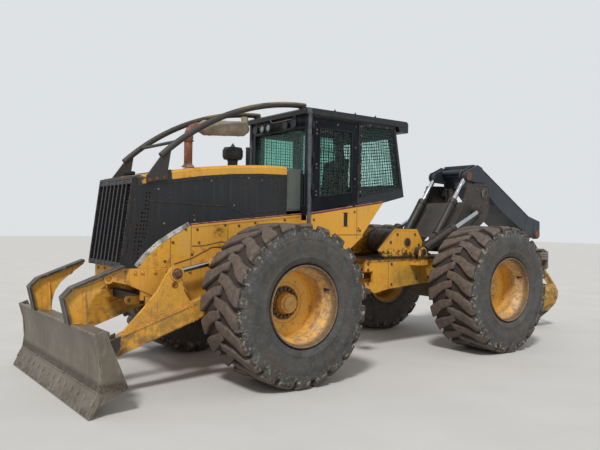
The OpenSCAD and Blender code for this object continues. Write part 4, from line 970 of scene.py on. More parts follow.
def turned(profile: Sequence[Flat], origin: Point, along: Vector, steps: int = 64) -> Piece:
    """Closed profile spun round an axis.

    Args:
        profile: corners as distance from the axis and distance along it, in millimetres.
        origin: point on the axis that the profile is measured from.
        along: direction of the axis.
        steps: faces round it.

    Returns:
        The piece.
    """
    clear_selection()
    bpy.ops.mesh.primitive_circle_add(vertices=len(profile), fill_type="NOTHING")
    obj = bpy.context.active_object
    for vertex, (r, h) in zip(obj.data.vertices, profile):
        vertex.co = Vector((r, 0, h)) * MM
    edit_all(obj)
    bpy.ops.mesh.spin(steps=steps, angle=math.tau, center=(0, 0, 0), axis=(0, 0, 1))
    bpy.ops.mesh.select_all(action="SELECT")
    bpy.ops.mesh.remove_doubles(threshold=1e-5)
    bpy.ops.mesh.normals_make_consistent(inside=False)
    bpy.ops.object.mode_set(mode="OBJECT")
    obj.matrix_world = facing(along, origin)
    return soften(settle(obj), 30.0)


def offset_line(points: Sequence[Flat], distance: float) -> list[Flat]:
    """Line beside a line of points, on its left for a distance above 0."""
    shifted = []
    for index, (x, z) in enumerate(points):
        before, after = points[max(index - 1, 0)], points[min(index + 1, len(points) - 1)]
        way = Vector((after[0] - before[0], after[1] - before[1])).normalized()
        shifted.append((x - way.y * distance, z + way.x * distance))
    return shifted


def band(points: Sequence[Flat], width: float, face: float, thick: float, bevel: float = 0.0) -> Piece:
    """Flat band along a line in x and z, on the left of the line, standing on a side face.

    Args:
        points: the line, in millimetres.
        width: width of the band, to the left of the line.
        face: distance of the face from the centre plane.
        thick: how far it stands out.
        bevel: width of its rounded edges.

    Returns:
        The piece.
    """
    outline = list(points) + list(reversed(offset_line(points, width)))
    return plate(outline, face, face + thick, bevel)


def seam(start: Flat, end: Flat, face: float, width: float = 5.0) -> Piece:
    """Dark line of a joint between two sheets, a millimetre proud of the face."""
    return band([start, end], width, face - 1, 2.0)


def between(a: Flat, b: Flat, share: float) -> Flat:
    """Place on the way from a to b."""
    return (a[0] + (b[0] - a[0]) * share, a[1] + (b[1] - a[1]) * share)


def loop(points: Sequence) -> list[tuple]:
    """Each point of a closed line with the next one."""
    return list(zip(points, [*points[1:], points[0]]))


def on_sides(face: float, spots: Iterable[Flat]) -> list[tuple[Point, Vector]]:
    """Places in x and z on both side faces, each with the way that it looks."""
    return [((x, s * face, z), LEFT * s) for x, z in spots for s in BOTH]


def round_at(centre: Flat, radius: float, angles: Iterable[float]) -> list[Flat]:
    """Places round a centre at the given angles."""
    return [(centre[0] + radius * math.cos(a), centre[1] + radius * math.sin(a)) for a in angles]


def bolts(places: Iterable[tuple[Point, Vector]], size: float = 24.0, height: float = 12.0) -> list[Piece]:
    """Hexagonal bolt heads with washers.

    Args:
        places: foot of each bolt in millimetres, and the way it looks.
        size: width across its corners.
        height: height of the head.

    Returns:
        The bolts.
    """
    clear_selection()
    bpy.ops.mesh.primitive_cylinder_add(
        vertices=6, radius=size / 2 * MM, depth=height * MM, location=(0, 0, height / 2 * MM)
    )
    head = settle(bpy.context.active_object)
    edit_all(head)
    bpy.ops.mesh.select_all(action="DESELECT")
    mesh = bmesh.from_edit_mesh(head.data)
    for face in mesh.faces:
        face.select = face.normal.z > 0.9
    bmesh.update_edit_mesh(head.data)
    bpy.ops.mesh.inset(thickness=size * 0.09 * MM, depth=0)
    bpy.ops.transform.translate(value=(0, 0, height * 0.14 * MM))
    clear_selection()
    bpy.ops.mesh.primitive_cylinder_add(
        vertices=16, radius=size * 0.72 * MM, depth=3 * MM, location=(0, 0, 1.5 * MM)
    )
    model = joined("bolt", [head, settle(bpy.context.active_object)])
    copies = [copied(model, facing(way, foot)) for foot, way in places]
    bpy.data.objects.remove(model)
    return copies


def joined(name: str, parts: Iterable[Piece]) -> Piece:
    """Joins parts of one finish and one body into a single piece."""
    parts = list(parts)
    clear_selection()
    for part in parts:
        part.select_set(True)
    obj = bpy.context.view_layer.objects.active = parts[0]
    if len(parts) > 1:
        bpy.ops.object.join()
    obj.name = name
    obj.data.name = name
    return settle(obj)


def fit(
    name: str, parts: Iterable[Piece], finish: Coat, body: Body = Body.FRONT, replaced: Sequence[str] = ()
) -> Piece:
    """Joins parts into a piece, dresses it and hangs it on its body.

    Args:
        name: the piece's name.
        parts: its parts, in place.
        finish: what it is finished with.
        body: the body that it rides on.
        replaced: nodes of the frame that it stands for.

    Returns:
        The piece.
    """
    obj = joined(name, parts)
    obj.data.materials.clear()
    obj.data.materials.append(finish.material)
    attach(obj, body.value)
    if replaced:
        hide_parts(*replaced)
    log.info("piece %s: %d faces", obj.name, len(obj.data.polygons))
    return obj


def fit_pair(
    name: str, parts: Iterable[Piece], finish: Coat, body: Body = Body.FRONT, replaced: Sequence[str] = ()
) -> Piece:
    """Fits the left side's parts and their mirror images, joined into one piece."""
    both = [piece for part in list(parts) for piece in (part, copied(part, MIRROR))]
    return fit(name, both, finish, body, replaced)


# Sub-assemblies


@dataclass
class CarriedNodes:
    """The frame's own nodes, which keep their shape and get their finishes."""

    nodes: dict[str, Piece]
    finishes: Finishes

    def table(self) -> dict[str, Coat]:
        """Finish of each node by its name."""
        f = self.finishes
        groups = (
            (f.frame, "front_frame", "blade_arms", "blade_horns", "lift_barrels"),
            (f.rear, "rear_frame", "winch_tower"),
            (f.hood, "hood_top"),
            (f.sheet, "lower_body"),
            (f.black, "grille", "hood_sides"),
            (f.navy, "cab_shell", "cab_roof"),
            (f.door, "door_left", "door_right"),
            (f.guard, "brush_guard"),
            (f.slate, "boom"),
            (f.charcoal, "arch"),
            (f.oily, "engine_block", "radiator", "steer_barrel_left", "steer_barrel_right"),
            (f.oily, "arch_barrels", "boom_barrels", "tong_barrel"),
            (f.chrome, "lift_rods", "steer_rod_left", "steer_rod_right"),
            (f.chrome, "arch_rods", "boom_rods", "tong_rod"),
            (f.cast, "front_axle", "rear_axle", "winch_drum", "grapple_cross"),
            (f.blade, "blade"),
            (f.edge, "fairlead_rollers"),
            (f.lime, "grapple_swivel"),
            (f.head, "grapple_head"),
            (f.tong, "tong_left", "tong_right"),
            (f.exhaust, "exhaust"),
            (f.plastic, "air_cleaner", "controls"),
            (f.gasket, "window_guards"),
            (f.glass, "cab_glass"),
            (f.vinyl, "seat"),
            (f.rubber, *(f"tyre_{corner}" for corner, _, _ in CORNERS)),
            (f.rim, *(f"rim_{corner}" for corner, _, _ in CORNERS)),
        )
        return {name: finish for finish, *names in groups for name in names}

    def dress(self) -> None:
        """Gives every node its finish."""
        table = self.table()
        for name, obj in self.nodes.items():
            obj.data.materials.clear()
            obj.data.materials.append(table[name].material)
            log.info("node %s: %s", name, table[name].material.name)


@dataclass
class Tyre:
    """Forestry tyre with tall bent lugs, moulded once and copied to the four wheels."""

    radius: float = 865.0
    half_width: float = 387.5
    bead: float = 402.0
    lugs: int = 22
    waist: float = 112.0
    shoulder: float = 188.0
    seed: int = 7

    def casing(self) -> Piece:
        """Casing with rounded shoulders, a bead ring and two raised rings on each sidewall."""
        half = [
            (self.bead, 312), (432, 314), (446, 330), (452, 352), (468, 366), (500, 374), (512, 381),
            (524, 376), (580, 383), (640, 386), (652, 387), (664, 384), (705, 381), (738, 375),
            (768, 361), (796, 334), (811, 290), (819, 200), (821, 60),
        ]
        profile = half + [(r, -h) for r, h in reversed(half)]
        return turned(profile, (-HINGE_AHEAD, 0, 0), LEFT, 88)

    def lug(self, rng: random.Random) -> Piece:
        """One lug at the top of the tyre: a bar cut into lengths and bent to the tread.

        Args:
            rng: source of each lug's own wear.

        Returns:
            The lug, with the tyre's middle at the frame's origin.
        """
        clear_selection()
        bpy.ops.mesh.primitive_cube_add(size=1.0, location=(0.5, 0, 0.5))
        lug = settle(bpy.context.active_object)
        bpy.ops.object.mode_set(mode="EDIT")
        for cut in (0.14, 0.3, 0.46, 0.62, 0.76, 0.86, 0.93, 0.97):
            bpy.ops.mesh.select_all(action="SELECT")
            bpy.ops.mesh.bisect(plane_co=(cut, 0, 0), plane_no=(1, 0, 0))
        bpy.ops.mesh.select_all(action="SELECT")
        bpy.ops.mesh.bisect(plane_co=(0, 0, 0), plane_no=(0, 1, 0))
        clear_selection()
        wear = [rng.uniform(0, 9), rng.uniform(0, 30), rng.uniform(-12, 12), rng.uniform(0, 14)]
        for vertex in lug.data.vertices:
            vertex.co = self.bent(vertex.co, wear)
        return round_edges(lug, 13.0, 25.0)

    def bent(self, unit: Vector, wear: Sequence[float]) -> Vector:
        """Place on the tyre of a point of the straight unit bar.

        Args:
            unit: point of the unit bar, along x from the tread's middle to the shoulder.
            wear: loss in height, loss at the shoulder, lean of the shoulder, loss of width.

        Returns:
            The point, in metres.
        """
        along, side, rise = unit.x, unit.y, unit.z
        low, short, lean, narrow = wear
        across = -44 + 430 * along
        around = 85 * min(along / 0.46, 1.0) + 140 * max(along - 0.46, 0) / 0.54
        around += lean * max(along - 0.7, 0)
        width = self.waist + (self.shoulder - self.waist) * min(max((along - 0.2) / 0.65, 0.0), 1.0)
        width = (width - narrow) * (1.16 - 0.22 * rise - 0.25 * max(0.0, (along - 0.93) / 0.07))
        end = max(0.0, (along - 0.84) / 0.16)
        top = self.radius - low - (44 + short) * end**2
        foot = 800 - 105 * max(0.0, (along - 0.80) / 0.20) ** 1.6
        r = foot + (top - foot) * rise
        angle = (around + side * width + 10 * math.sin(9 * along + lean)) / self.radius
        out = min(across, self.half_width - (3 + 24 * end) * rise * end)
        return Vector((r * math.sin(angle), out, r * math.cos(angle))) * MM

    def build(self) -> Piece:
        """Whole tyre round the frame's origin, with the lugs of both halves by turns."""
        rng = random.Random(self.seed)
        parts = [self.casing()]
        for index in range(2 * self.lugs):
            lug = self.lug(rng)
            if index % 2:
                moved(lug, MIRROR)
            parts.append(moved(lug, Matrix.Rotation(index * math.pi / self.lugs, 4, "Y")))
        return soften(joined("tyre", parts), 32.0)

    def fit_all(self, finishes: Finishes) -> None:
        """Copies the tyre to the four wheels, the rear ones turned a little further."""
        model = self.build()
        for corner, x, s in CORNERS:
            flip = MIRROR if s < 0 else Matrix.Identity(4)
            turn = Matrix.Rotation(0.05 if x > 0 else 0.16, 4, "Y")
            place = Matrix.Translation(spot(x, s * WHEEL_MID, AXLE_Z)) @ flip @ turn
            tyre, wheel = [copied(model, place)], Body(f"wheel_{corner}")
            fit(f"forestry_tyre_{corner}", tyre, finishes.rubber, wheel, [f"tyre_{corner}"])
        bpy.data.objects.remove(model)


@dataclass
class WheelTrim:
    """What the rims carry: a valve, a rolled bead on the lip and a raised cap on the hub."""

    finishes: Finishes
    face: float = 1135.0
    lip_r: float = 424.0
    bolt_r: float = 178.0

    def wheel(self, corner: str, x: float, s: int) -> None:
        """Makes the trim of one wheel.

        Args:
            corner: the wheel's end and side.
            x: place of its axle.
            s: 1 on the left, -1 on the right.
        """
        f, out, body = self.finishes, LEFT * s, Body(f"wheel_{corner}")
        cap = [(0, 106), (70, 106), (78, 110), (78, 118), (66, 124), (20, 126), (14, 134), (0, 134)]
        stem = [(0, 0), (22, 0), (24, 6), (14, 14), (12, 40), (9, 46), (9, 62), (0, 62)]
        rim = [
            ring((x, s * (self.face + 391), AXLE_Z), out, self.lip_r, 5),
            ring((x, s * (self.face + 60), AXLE_Z), out, 352, 6),
            turned(cap, (x, s * self.face, AXLE_Z), out, 36),
        ]
        fit(f"rim_trim_{corner}", rim, f.rim, body)
        valve = turned(stem, (x - 352, s * (self.face + 265), AXLE_Z + 150), out, 20)
        fit("valve", [valve], f.gasket, body)
        angles = [math.tau * (i + 0.5) / 12 for i in range(12)]
        places = round_at((x, AXLE_Z), self.bolt_r, angles)
        marks = [((px, s * (self.face + 2), pz), out) for px, pz in places]
        fit(f"hub_bolts_{corner}", bolts(marks, 17, 7), f.rim, body)

    def build(self) -> None:
        """Makes the trim of the four wheels."""
        for corner, x, s in CORNERS:
            self.wheel(corner, x, s)


@dataclass
class HoodTrim:
    """Stripes, seams, pressed ribs and bolts of the hood and the yellow sheets below it."""

    finishes: Finishes
    black_face: float = 489.0
    sheet_face: float = 497.0
    cab_face: float = 630.0
    stripe_front: Flat = (2560, 1677)
    stripe_post: Flat = (1050, 1824)
    stripe_end: Flat = (-200, 2010)

    def stripes(self) -> None:
        """Dark red film with a faded upper edge along the machine, and the white band at the arc."""
        f = self.finishes
        post, front, end = self.stripe_post, self.stripe_front, self.stripe_end
        hood, cab = self.black_face - 1, self.cab_face - 1
        below = [band([front, post], -17, hood, 9.5), band([(1046, 1826), end], -17, cab, 2.6)]
        above = [
            band([(2560, 1694), (1050, 1841)], -7, hood, 9.5),
            band([(1046, 1843), (-196, 2027)], -7, cab, 2.6),
        ]
        fit_pair("red_film", below, f.red)
        fit_pair("faded_film_edge", above, f.pink)
        arc = [(2560, 1677), (2740, 1580), (2910, 1475), (3000, 1398), (3060, 1345), (3150, 1240)]
        fit_pair("white_arc_band", [band(arc, 46, hood, 9.6)], f.white)

    def seams(self) -> None:
        """Joints between the sheets, as dark lines."""
        b, y, c = self.black_face, self.sheet_face, self.cab_face
        lines = [
            seam((2777, 2100), (2777, 2192), b + 0.5),
            seam((2512, 1700), (2512, 1908), b), seam((2085, 1805), (2085, 2258), b, 9),
            seam((2790, 1238), (2790, 1545), y), seam((2547, 1238), (2547, 1672), y),
            seam((2087, 1238), (2087, 1718), y), seam((1684, 1238), (1684, 1758), y),
            seam((259, 1530), (263, 1930), c), seam((250, 1590), (175, 1590), c, 7),
            seam((1040, 1588), (250, 1590), c, 7), seam((1043, 1350), (1043, 1818), c),
        ]
        fit_pair("sheet_seams", lines, self.finishes.gasket)

    def ribs(self) -> None:
        """Pressed ribs of the black sides, and folded hems of the sheets below."""
        b = self.black_face - 1
        parts = [
            band([(3040, 1938), (2600, 1923), (2108, 1908)], 13, b, 7, 3.0),
            band([(2060, 1888), (1990, 1868), (1840, 1812), (1700, 1850), (1290, 1888)], 11, b, 6, 2.5),
            band([(2060, 2244), (1300, 2292)], 11, b, 6, 2.5),
            band([(3040, 2108), (2130, 2238)], 11, b, 6, 2.5),
        ]
        fit_pair("hood_ribs", parts, self.finishes.black)
        hem = [
            band([(2540, 1660), (1060, 1804)], -26, self.sheet_face - 1, 5, 2.0),
            band([(1036, 1352), (486, 1352)], 22, self.cab_face - 1, 5, 2.0),
            band([(470, 1360), (168, 1582)], 22, self.cab_face - 1, 5, 2.0),
        ]
        fit_pair("sheet_hems", hem, self.finishes.sheet)

    def fasteners(self) -> None:
        """Bolts, holes and latches of the sheets, and black plates that paint the shade inside the grips'
        recesses.
        """
        f = self.finishes
        b, y, c = self.black_face, self.sheet_face, self.cab_face
        dark = [
            (2515, 1792), (2505, 1742), (2003, 1915), (1630, 2218), (1816, 2236), (2930, 2060),
            (2300, 2180), (2860, 1700),
        ]
        fit("hood_bolts", bolts(on_sides(b, dark), 16, 9), f.edge)
        spots = [
            (2448, 1497), (2531, 1368), (1940, 1686), (1933, 1530), (2296, 1324), (2760, 1500),
            (2610, 1640), (2120, 1690), (1720, 1720), (1650, 1500), (1300, 1760), (1240, 1450),
            (2850, 1300), (2470, 1640),
        ]
        marks = on_sides(y, spots)
        marks += on_sides(c, ((200, 1640), (300, 1880), (960, 1770), (640, 1400), (960, 1400)))
        fit("sheet_bolts", bolts(marks, 22, 8), f.rusty)
        lines = [
            *beads(y, [(2743, 1269), (2530, 1329), (2286, 1446), (2081, 1444)], 6),
            *beads(y, [(2532, 1459), (2386, 1463), (2172, 1505), (1990, 1488)], 5),
        ]
        fit_pair("rusty_lines", lines, f.rusty)
        latch = [
            block((2040, y - 2, 1300), (2078, y + 16, 1372), 4),
            bar((2060, y + 10, 1320), (2060, y + 22, 1320), 10),
            pipe(
                [
                    (236, c + 2, 1680), (236, c + 16, 1672), (238, c + 18, 1656), (246, c + 16, 1644),
                    (256, c + 2, 1640),
                ],
                6,
            ),
            block((405, c - 1, 1690), (495, c + 3, 1697), 1),
            block((405, c - 1, 1863), (495, c + 3, 1870), 1),
        ]
        fit_pair("sheet_latches", latch, f.rusty)
        # painted shade: a black plate in each grip's recess stands in for the shade inside it
        well = block((420, c - 1, 1697), (480, c + 2, 1863), 0.5)
        fit_pair("grip_recess_shade_plates", [well], f.gasket)

    def top(self) -> None:
        """Seam and filler cap of the hood, and the screens between hood and cab."""
        f = self.finishes
        join = plate([(-455, 2272), (455, 2272), (455, 2278), (-455, 2278)], 2774, 2780, 0, Plane.FRONT)
        cap = turned(
            [(0, 0), (62, 0), (66, 8), (66, 30), (58, 38), (14, 42), (0, 42)], (2960, -230, 2246), UP, 32
        )
        fit("hood_cap", [join, cap], f.gasket)
        screen = plate([(1058, 1880), (1262, 1866), (1262, 2352), (1228, 2385), (1058, 2385)], 466, 482, 3)
        lip = band([(1070, 1900), (1250, 1886), (1250, 2340)], 14, 481, 6, 2)
        fit_pair("side_screens", [screen, lip], f.moss)

    def build(self) -> None:
        """Makes the whole trim."""
        self.stripes()
        self.seams()
        self.ribs()
        self.fasteners()
        self.top()


@dataclass
class CabTrim:
    """Wire meshes, rubber seals, lamps, locks, roof fittings and hung steps of the cab."""

    finishes: Finishes
    face: float = 630.0
    roof_top: float = 3120.0
    wire: float = 3.4

    def on_rear(self, y: float, z: float, out: float) -> Point:
        """Place so far out from the outer face of the cab's leaning rear wall."""
        return (-410 + (z - 3040) * 180 / 938 - out, y, z)

    def mesh(self, outline: Sequence[Flat], step: float, face: float) -> list[Piece]:
        """Woven wires over a four-cornered opening in x and z.

        Args:
            outline: corners: upper front, upper rear, lower rear, lower front.
            step: spacing in millimetres.
            face: distance of the mesh from the centre plane.

        Returns:
            The wires.
        """
        upper_front, upper_rear, lower_rear, lower_front = outline
        length, height = upper_front[0] - upper_rear[0], upper_front[1] - lower_front[1]
        wires = []
        for a, b, c, d, width, out in (
            (upper_front, upper_rear, lower_front, lower_rear, length, face),
            (upper_front, lower_front, upper_rear, lower_rear, height, face + self.wire),
        ):
            count = round(width / step)
            for i in range(1, count):
                (x, z), (far_x, far_z) = between(a, b, i / count), between(c, d, i / count)
                wires.append(bar((x, out, z), (far_x, out, far_z), self.wire, 6, 0))
        return wires

    def meshes(self) -> None:
        """Meshes of the rear side windows, the doors and the rear window."""
        f = self.finishes
        side = [(205, 2995), (-370, 2995), (-510, 2235), (205, 2100)]
        frame = [(228, 3017), (-389, 3017), (-535, 2216), (228, 2072)]
        parts = self.mesh(side, 41, self.face + 6)
        parts += [band([a, b], 26, self.face + 0.5, 9.5, 2) for a, b in loop(frame)]
        fit_pair("side_window_meshes", parts, f.gasket, replaced=("window_guards",))
        for side_name, s in SIDES:
            uprights = [384 + 78.6 * i for i in range(7)]
            levels = [2118 + 76.4 * i for i in range(11)]
            wires = [bar((x, s * 625, 2082), (x, s * 625, 2894), self.wire, 6, 0) for x in uprights]
            wires += [bar((362, s * 627, z), (879, s * 627, z), self.wire, 6, 0) for z in levels]
            fit(f"door_mesh_{side_name}", wires, f.gasket, Body(f"door_{side_name}"))
        across = [-500 + 1000 * i / 24 for i in range(25)]
        heights = [2262 + 636 * i / 15 for i in range(16)]
        wires = [bar(self.on_rear(y, 2900, 9), self.on_rear(y, 2260, 9), self.wire, 6, 0) for y in across]
        wires += [
            bar(self.on_rear(-500, z, 13), self.on_rear(500, z, 13), self.wire, 6, 0) for z in heights
        ]
        corners = [(-500, 2900), (500, 2900), (500, 2260), (-500, 2260)]
        wires += [bar(self.on_rear(*a, 9), self.on_rear(*b, 9), 13, 12, 2) for a, b in loop(corners)]
        fit("rear_window_mesh", wires, f.gasket)

    def seals(self) -> None:
        """Rubber seals round the windshield, the doors' windows and the doors."""
        f = self.finishes
        out, inn, top, sill, foot = 560, 510, 2890, 2330, 1930
        corners = [
            (-out, top), (out, top), (out, foot), (inn, foot), (inn, sill), (-inn, sill), (-inn, foot),
            (-out, foot),
        ]
        seal = [bar((1052, *a), (1052, *b), 8, 10, 0) for a, b in loop(corners)]
        fit("windshield_seal", seal, f.gasket)
        for side_name, s in SIDES:
            body = Body(f"door_{side_name}")
            ring_line = [(360, 2891), (880, 2891), (880, 2049), (360, 2127)]
            pieces = beads(s * 631, [*ring_line, ring_line[0]], 6)
            lock = turned(
                [(0, 0), (20, 0), (20, 8), (11, 12), (9, 20), (0, 20)], (316, s * 630, 1970), LEFT * s, 24
            )
            pad = block((292, min(s * 629, s * 636), 1950), (340, max(s * 629, s * 636), 2212), 3)
            fit(f"door_seal_{side_name}", pieces + [lock, pad], f.gasket, body)
            marks = [((940, s * 640, z), LEFT * s) for z in (2070, 2115, 2445, 2400, 2820, 2865)]
            marks += [
                ((x, s * 630, z), LEFT * s)
                for x, z in ((300, 2960), (600, 2960), (940, 2960), (300, 2300), (300, 2700))
            ]
            fit(f"door_bolts_{side_name}", bolts(marks, 15, 6), f.edge, body)

    def lamps(self) -> None:
        """Work lamps under the roof's front edge and at its rear corners."""
        f = self.finishes
        lens = [(0, 0), (45, 0), (45, 5), (32, 12), (14, 16), (0, 17)]
        rim = [(46, -6), (55, -6), (56, 14), (46, 16)]
        places = [(1145, y, 2945) for y in (-250, -110)]
        lenses = [turned(lens, place, AHEAD, 28) for place in places]
        hoods = [turned(rim, place, AHEAD, 28) for place in places]
        fit("lamp_lenses", lenses, f.lens)
        hoods += [block((-628, y - 52, 2975), (-596, y + 52, 3042), 6) for y in (-520, 520)]
        fit("lamp_hoods", hoods, f.plastic)
        rear = [block((-634, y - 44, 2983), (-626, y + 44, 3034), 3) for y in (-520, 520)]
        fit("rear_lamp_lenses", rear, f.lens)

    def roof_parts(self) -> None:
        """Studs, drip rail, ribs and the bent rod of the roof."""
        f = self.finishes
        studs = [
            turned(
                [(0, 0), (13, 0), (13, 10), (8, 14), (8, 24), (0, 26)], (x, s * 642, self.roof_top - 3), UP,
                16,
            )
            for x in (664, 325, -24)
            for s in BOTH
        ]
        fit("roof_studs", studs, f.gasket)
        rail = [
            block((-600, 654, 3052), (1120, 660, 3064), 2), block((-560, 250, 3118), (960, 310, 3127), 4),
            block((-560, 60, 3118), (960, 120, 3127), 4), block((1000, 440, 3132), (1086, 566, 3137), 2),
        ]
        fit_pair("roof_rails", rail, f.navy)
        wire = pipe(
            [
                (1138, -72, 3042), (1148, -66, 3004), (1150, 60, 2994), (1150, 260, 2996),
                (1150, 420, 3000), (1148, 449, 3012), (1138, 452, 3042),
            ],
            6,
        )
        fit("bent_rod", [wire], f.edge)
        marks = [((1040, s * y, 3135), UP) for y in (475, 535) for s in BOTH]
        fit("roof_bolts", bolts(marks, 26, 12), f.edge)

    def walls(self) -> None:
        """Folds and posts of the walls, the bolts round the meshes, and the hung steps."""
        f = self.finishes
        c = self.face
        parts = [
            band([(222, 2072), (-262, 2120), (-540, 2190)], -9, c - 1, 6, 2),
            band([(-236, 2050), (-290, 2112)], 9, c - 1, 5, 2),
            band([(228, 2075), (228, 3030)], -18, c - 1, 6, 2),
            band([(240, 1980), (-190, 2042), (-560, 2120)], 9, c - 1, 5, 2),
        ]
        fit_pair("cab_folds", parts, f.navy)
        marks = [((214, s * (c + 9), z), LEFT * s) for z in range(2140, 3000, 120) for s in BOTH]
        marks += [((x, s * (c + 9), 3006), LEFT * s) for x in (60, -90, -240) for s in BOTH]
        marks += [((1046, s * (c + 1), z), LEFT * s) for z in (2200, 2700) for s in BOTH]
        fit("mesh_bolts", bolts(marks, 16, 6), f.edge)
        step = [
            block((120, 560, 880), (330, 760, 896), 4), block((120, 748, 836), (330, 762, 896), 4),
            block((120, 560, 836), (132, 760, 896), 4), block((318, 560, 836), (330, 760, 896), 4),
            plate([(130, 880), (172, 880), (520, 1440), (478, 1440)], 600, 611, 2),
            plate([(280, 880), (322, 880), (600, 1400), (558, 1400)], 600, 611, 2),
        ]
        step += [block((140 + 36 * i, 570, 894), (152 + 36 * i, 742, 904), 2) for i in range(5)]
        fit_pair("cab_steps", step, f.oily)

    def build(self) -> None:
        """Makes the whole trim."""
        self.meshes()
        self.seals()
        self.lamps()
        self.roof_parts()
        self.walls()


@dataclass
class SeatPads:
    """Operator's seat: a plain base with a padded cushion and a padded back, in grained vinyl."""

    finishes: Finishes
    pressure: float = 4.0
    cap: float = 14.0

    def base(self) -> list[Piece]:
        """Pedestal, pan and back shell."""
        parts = [
            block((250, -170, 1616), (540, 170, 1806), 12),
            block((170, -235, 1806), (660, 235, 1838), 14),
            plate([(118, 1838), (150, 1838), (40, 2606), (8, 2600)], -190, 190, 6),
            bar((150, -215, 1870), (150, 215, 1870), 22),
        ]
        parts += [block((200, s * 262 - 32, 2060), (480, s * 262 + 32, 2104), 14) for s in BOTH]
        parts += [bar((120, s * 245, 2060), (230, s * 245, 2078), 16) for s in BOTH]
        return parts

    def pad(self, outline: Sequence[Flat], half: float) -> Piece:
        """Crowned pad blown up by cloth pressure, with sewn channels across it.

        Args:
            outline: its outline in x and z.
            half: half its width.

        Returns:
            The piece.
        """
        pad = plate(outline, -half, half, 22)
        remesh = pad.modifiers.new("grid", "REMESH")
        remesh.mode = "VOXEL"
        remesh.voxel_size = 0.011
        apply(pad, remesh)
        start = [v.co.copy() for v in pad.data.vertices]
        cloth = pad.modifiers.new("air", "CLOTH")
        cloth.settings.use_pressure = True
        cloth.settings.uniform_pressure_force = self.pressure
        cloth.settings.effector_weights.gravity = 0
        for frame in range(1, 21):
            bpy.context.scene.frame_set(frame)
        apply(pad, cloth)
        bpy.context.scene.frame_set(1)
        for vertex, home in zip(pad.data.vertices, start):
            move = vertex.co - home
            if move.length > self.cap * MM:
                vertex.co = home + move.normalized() * self.cap * MM
        self.sew(pad, outline)
        smooth = pad.modifiers.new("smooth", "SUBSURF")
        smooth.levels = smooth.render_levels = 1
        apply(pad, smooth)
        return soften(pad, 60.0)

    def sew(self, pad: Piece, outline: Sequence[Flat]) -> None:
        """Presses three sewn channels 14 mm wide across the pad's front face."""
        (ax, az), (bx, bz) = outline[0], outline[1]
        a, b = spot(ax, 0, az), spot(bx, 0, bz)
        way = (b - a).normalized()
        inwards = Vector((-way.z, 0, way.x))
        for vertex in pad.data.vertices:
            run = (vertex.co - a).dot(way) / (b - a).length
            near = min(abs(run - line) for line in (0.25, 0.5, 0.75)) * (b - a).length / 0.014
            if near < 1 and (vertex.co - a).dot(inwards) < 0.05:
                vertex.co += inwards * 0.009 * (1 - near * near)

    def build(self) -> None:
        """Makes the seat in place of the frame's plain one."""
        fit("seat_base", self.base(), self.finishes.plastic, replaced=("seat",))
        cushion = self.pad([(650, 1935), (190, 1935), (190, 1852), (650, 1852)], 225)
        fit("seat_cushion", [cushion], self.finishes.vinyl)
        back = self.pad([(236, 1985), (148, 2590), (66, 2580), (152, 1975)], 215)
        fit("seat_back", [back], self.finishes.vinyl)


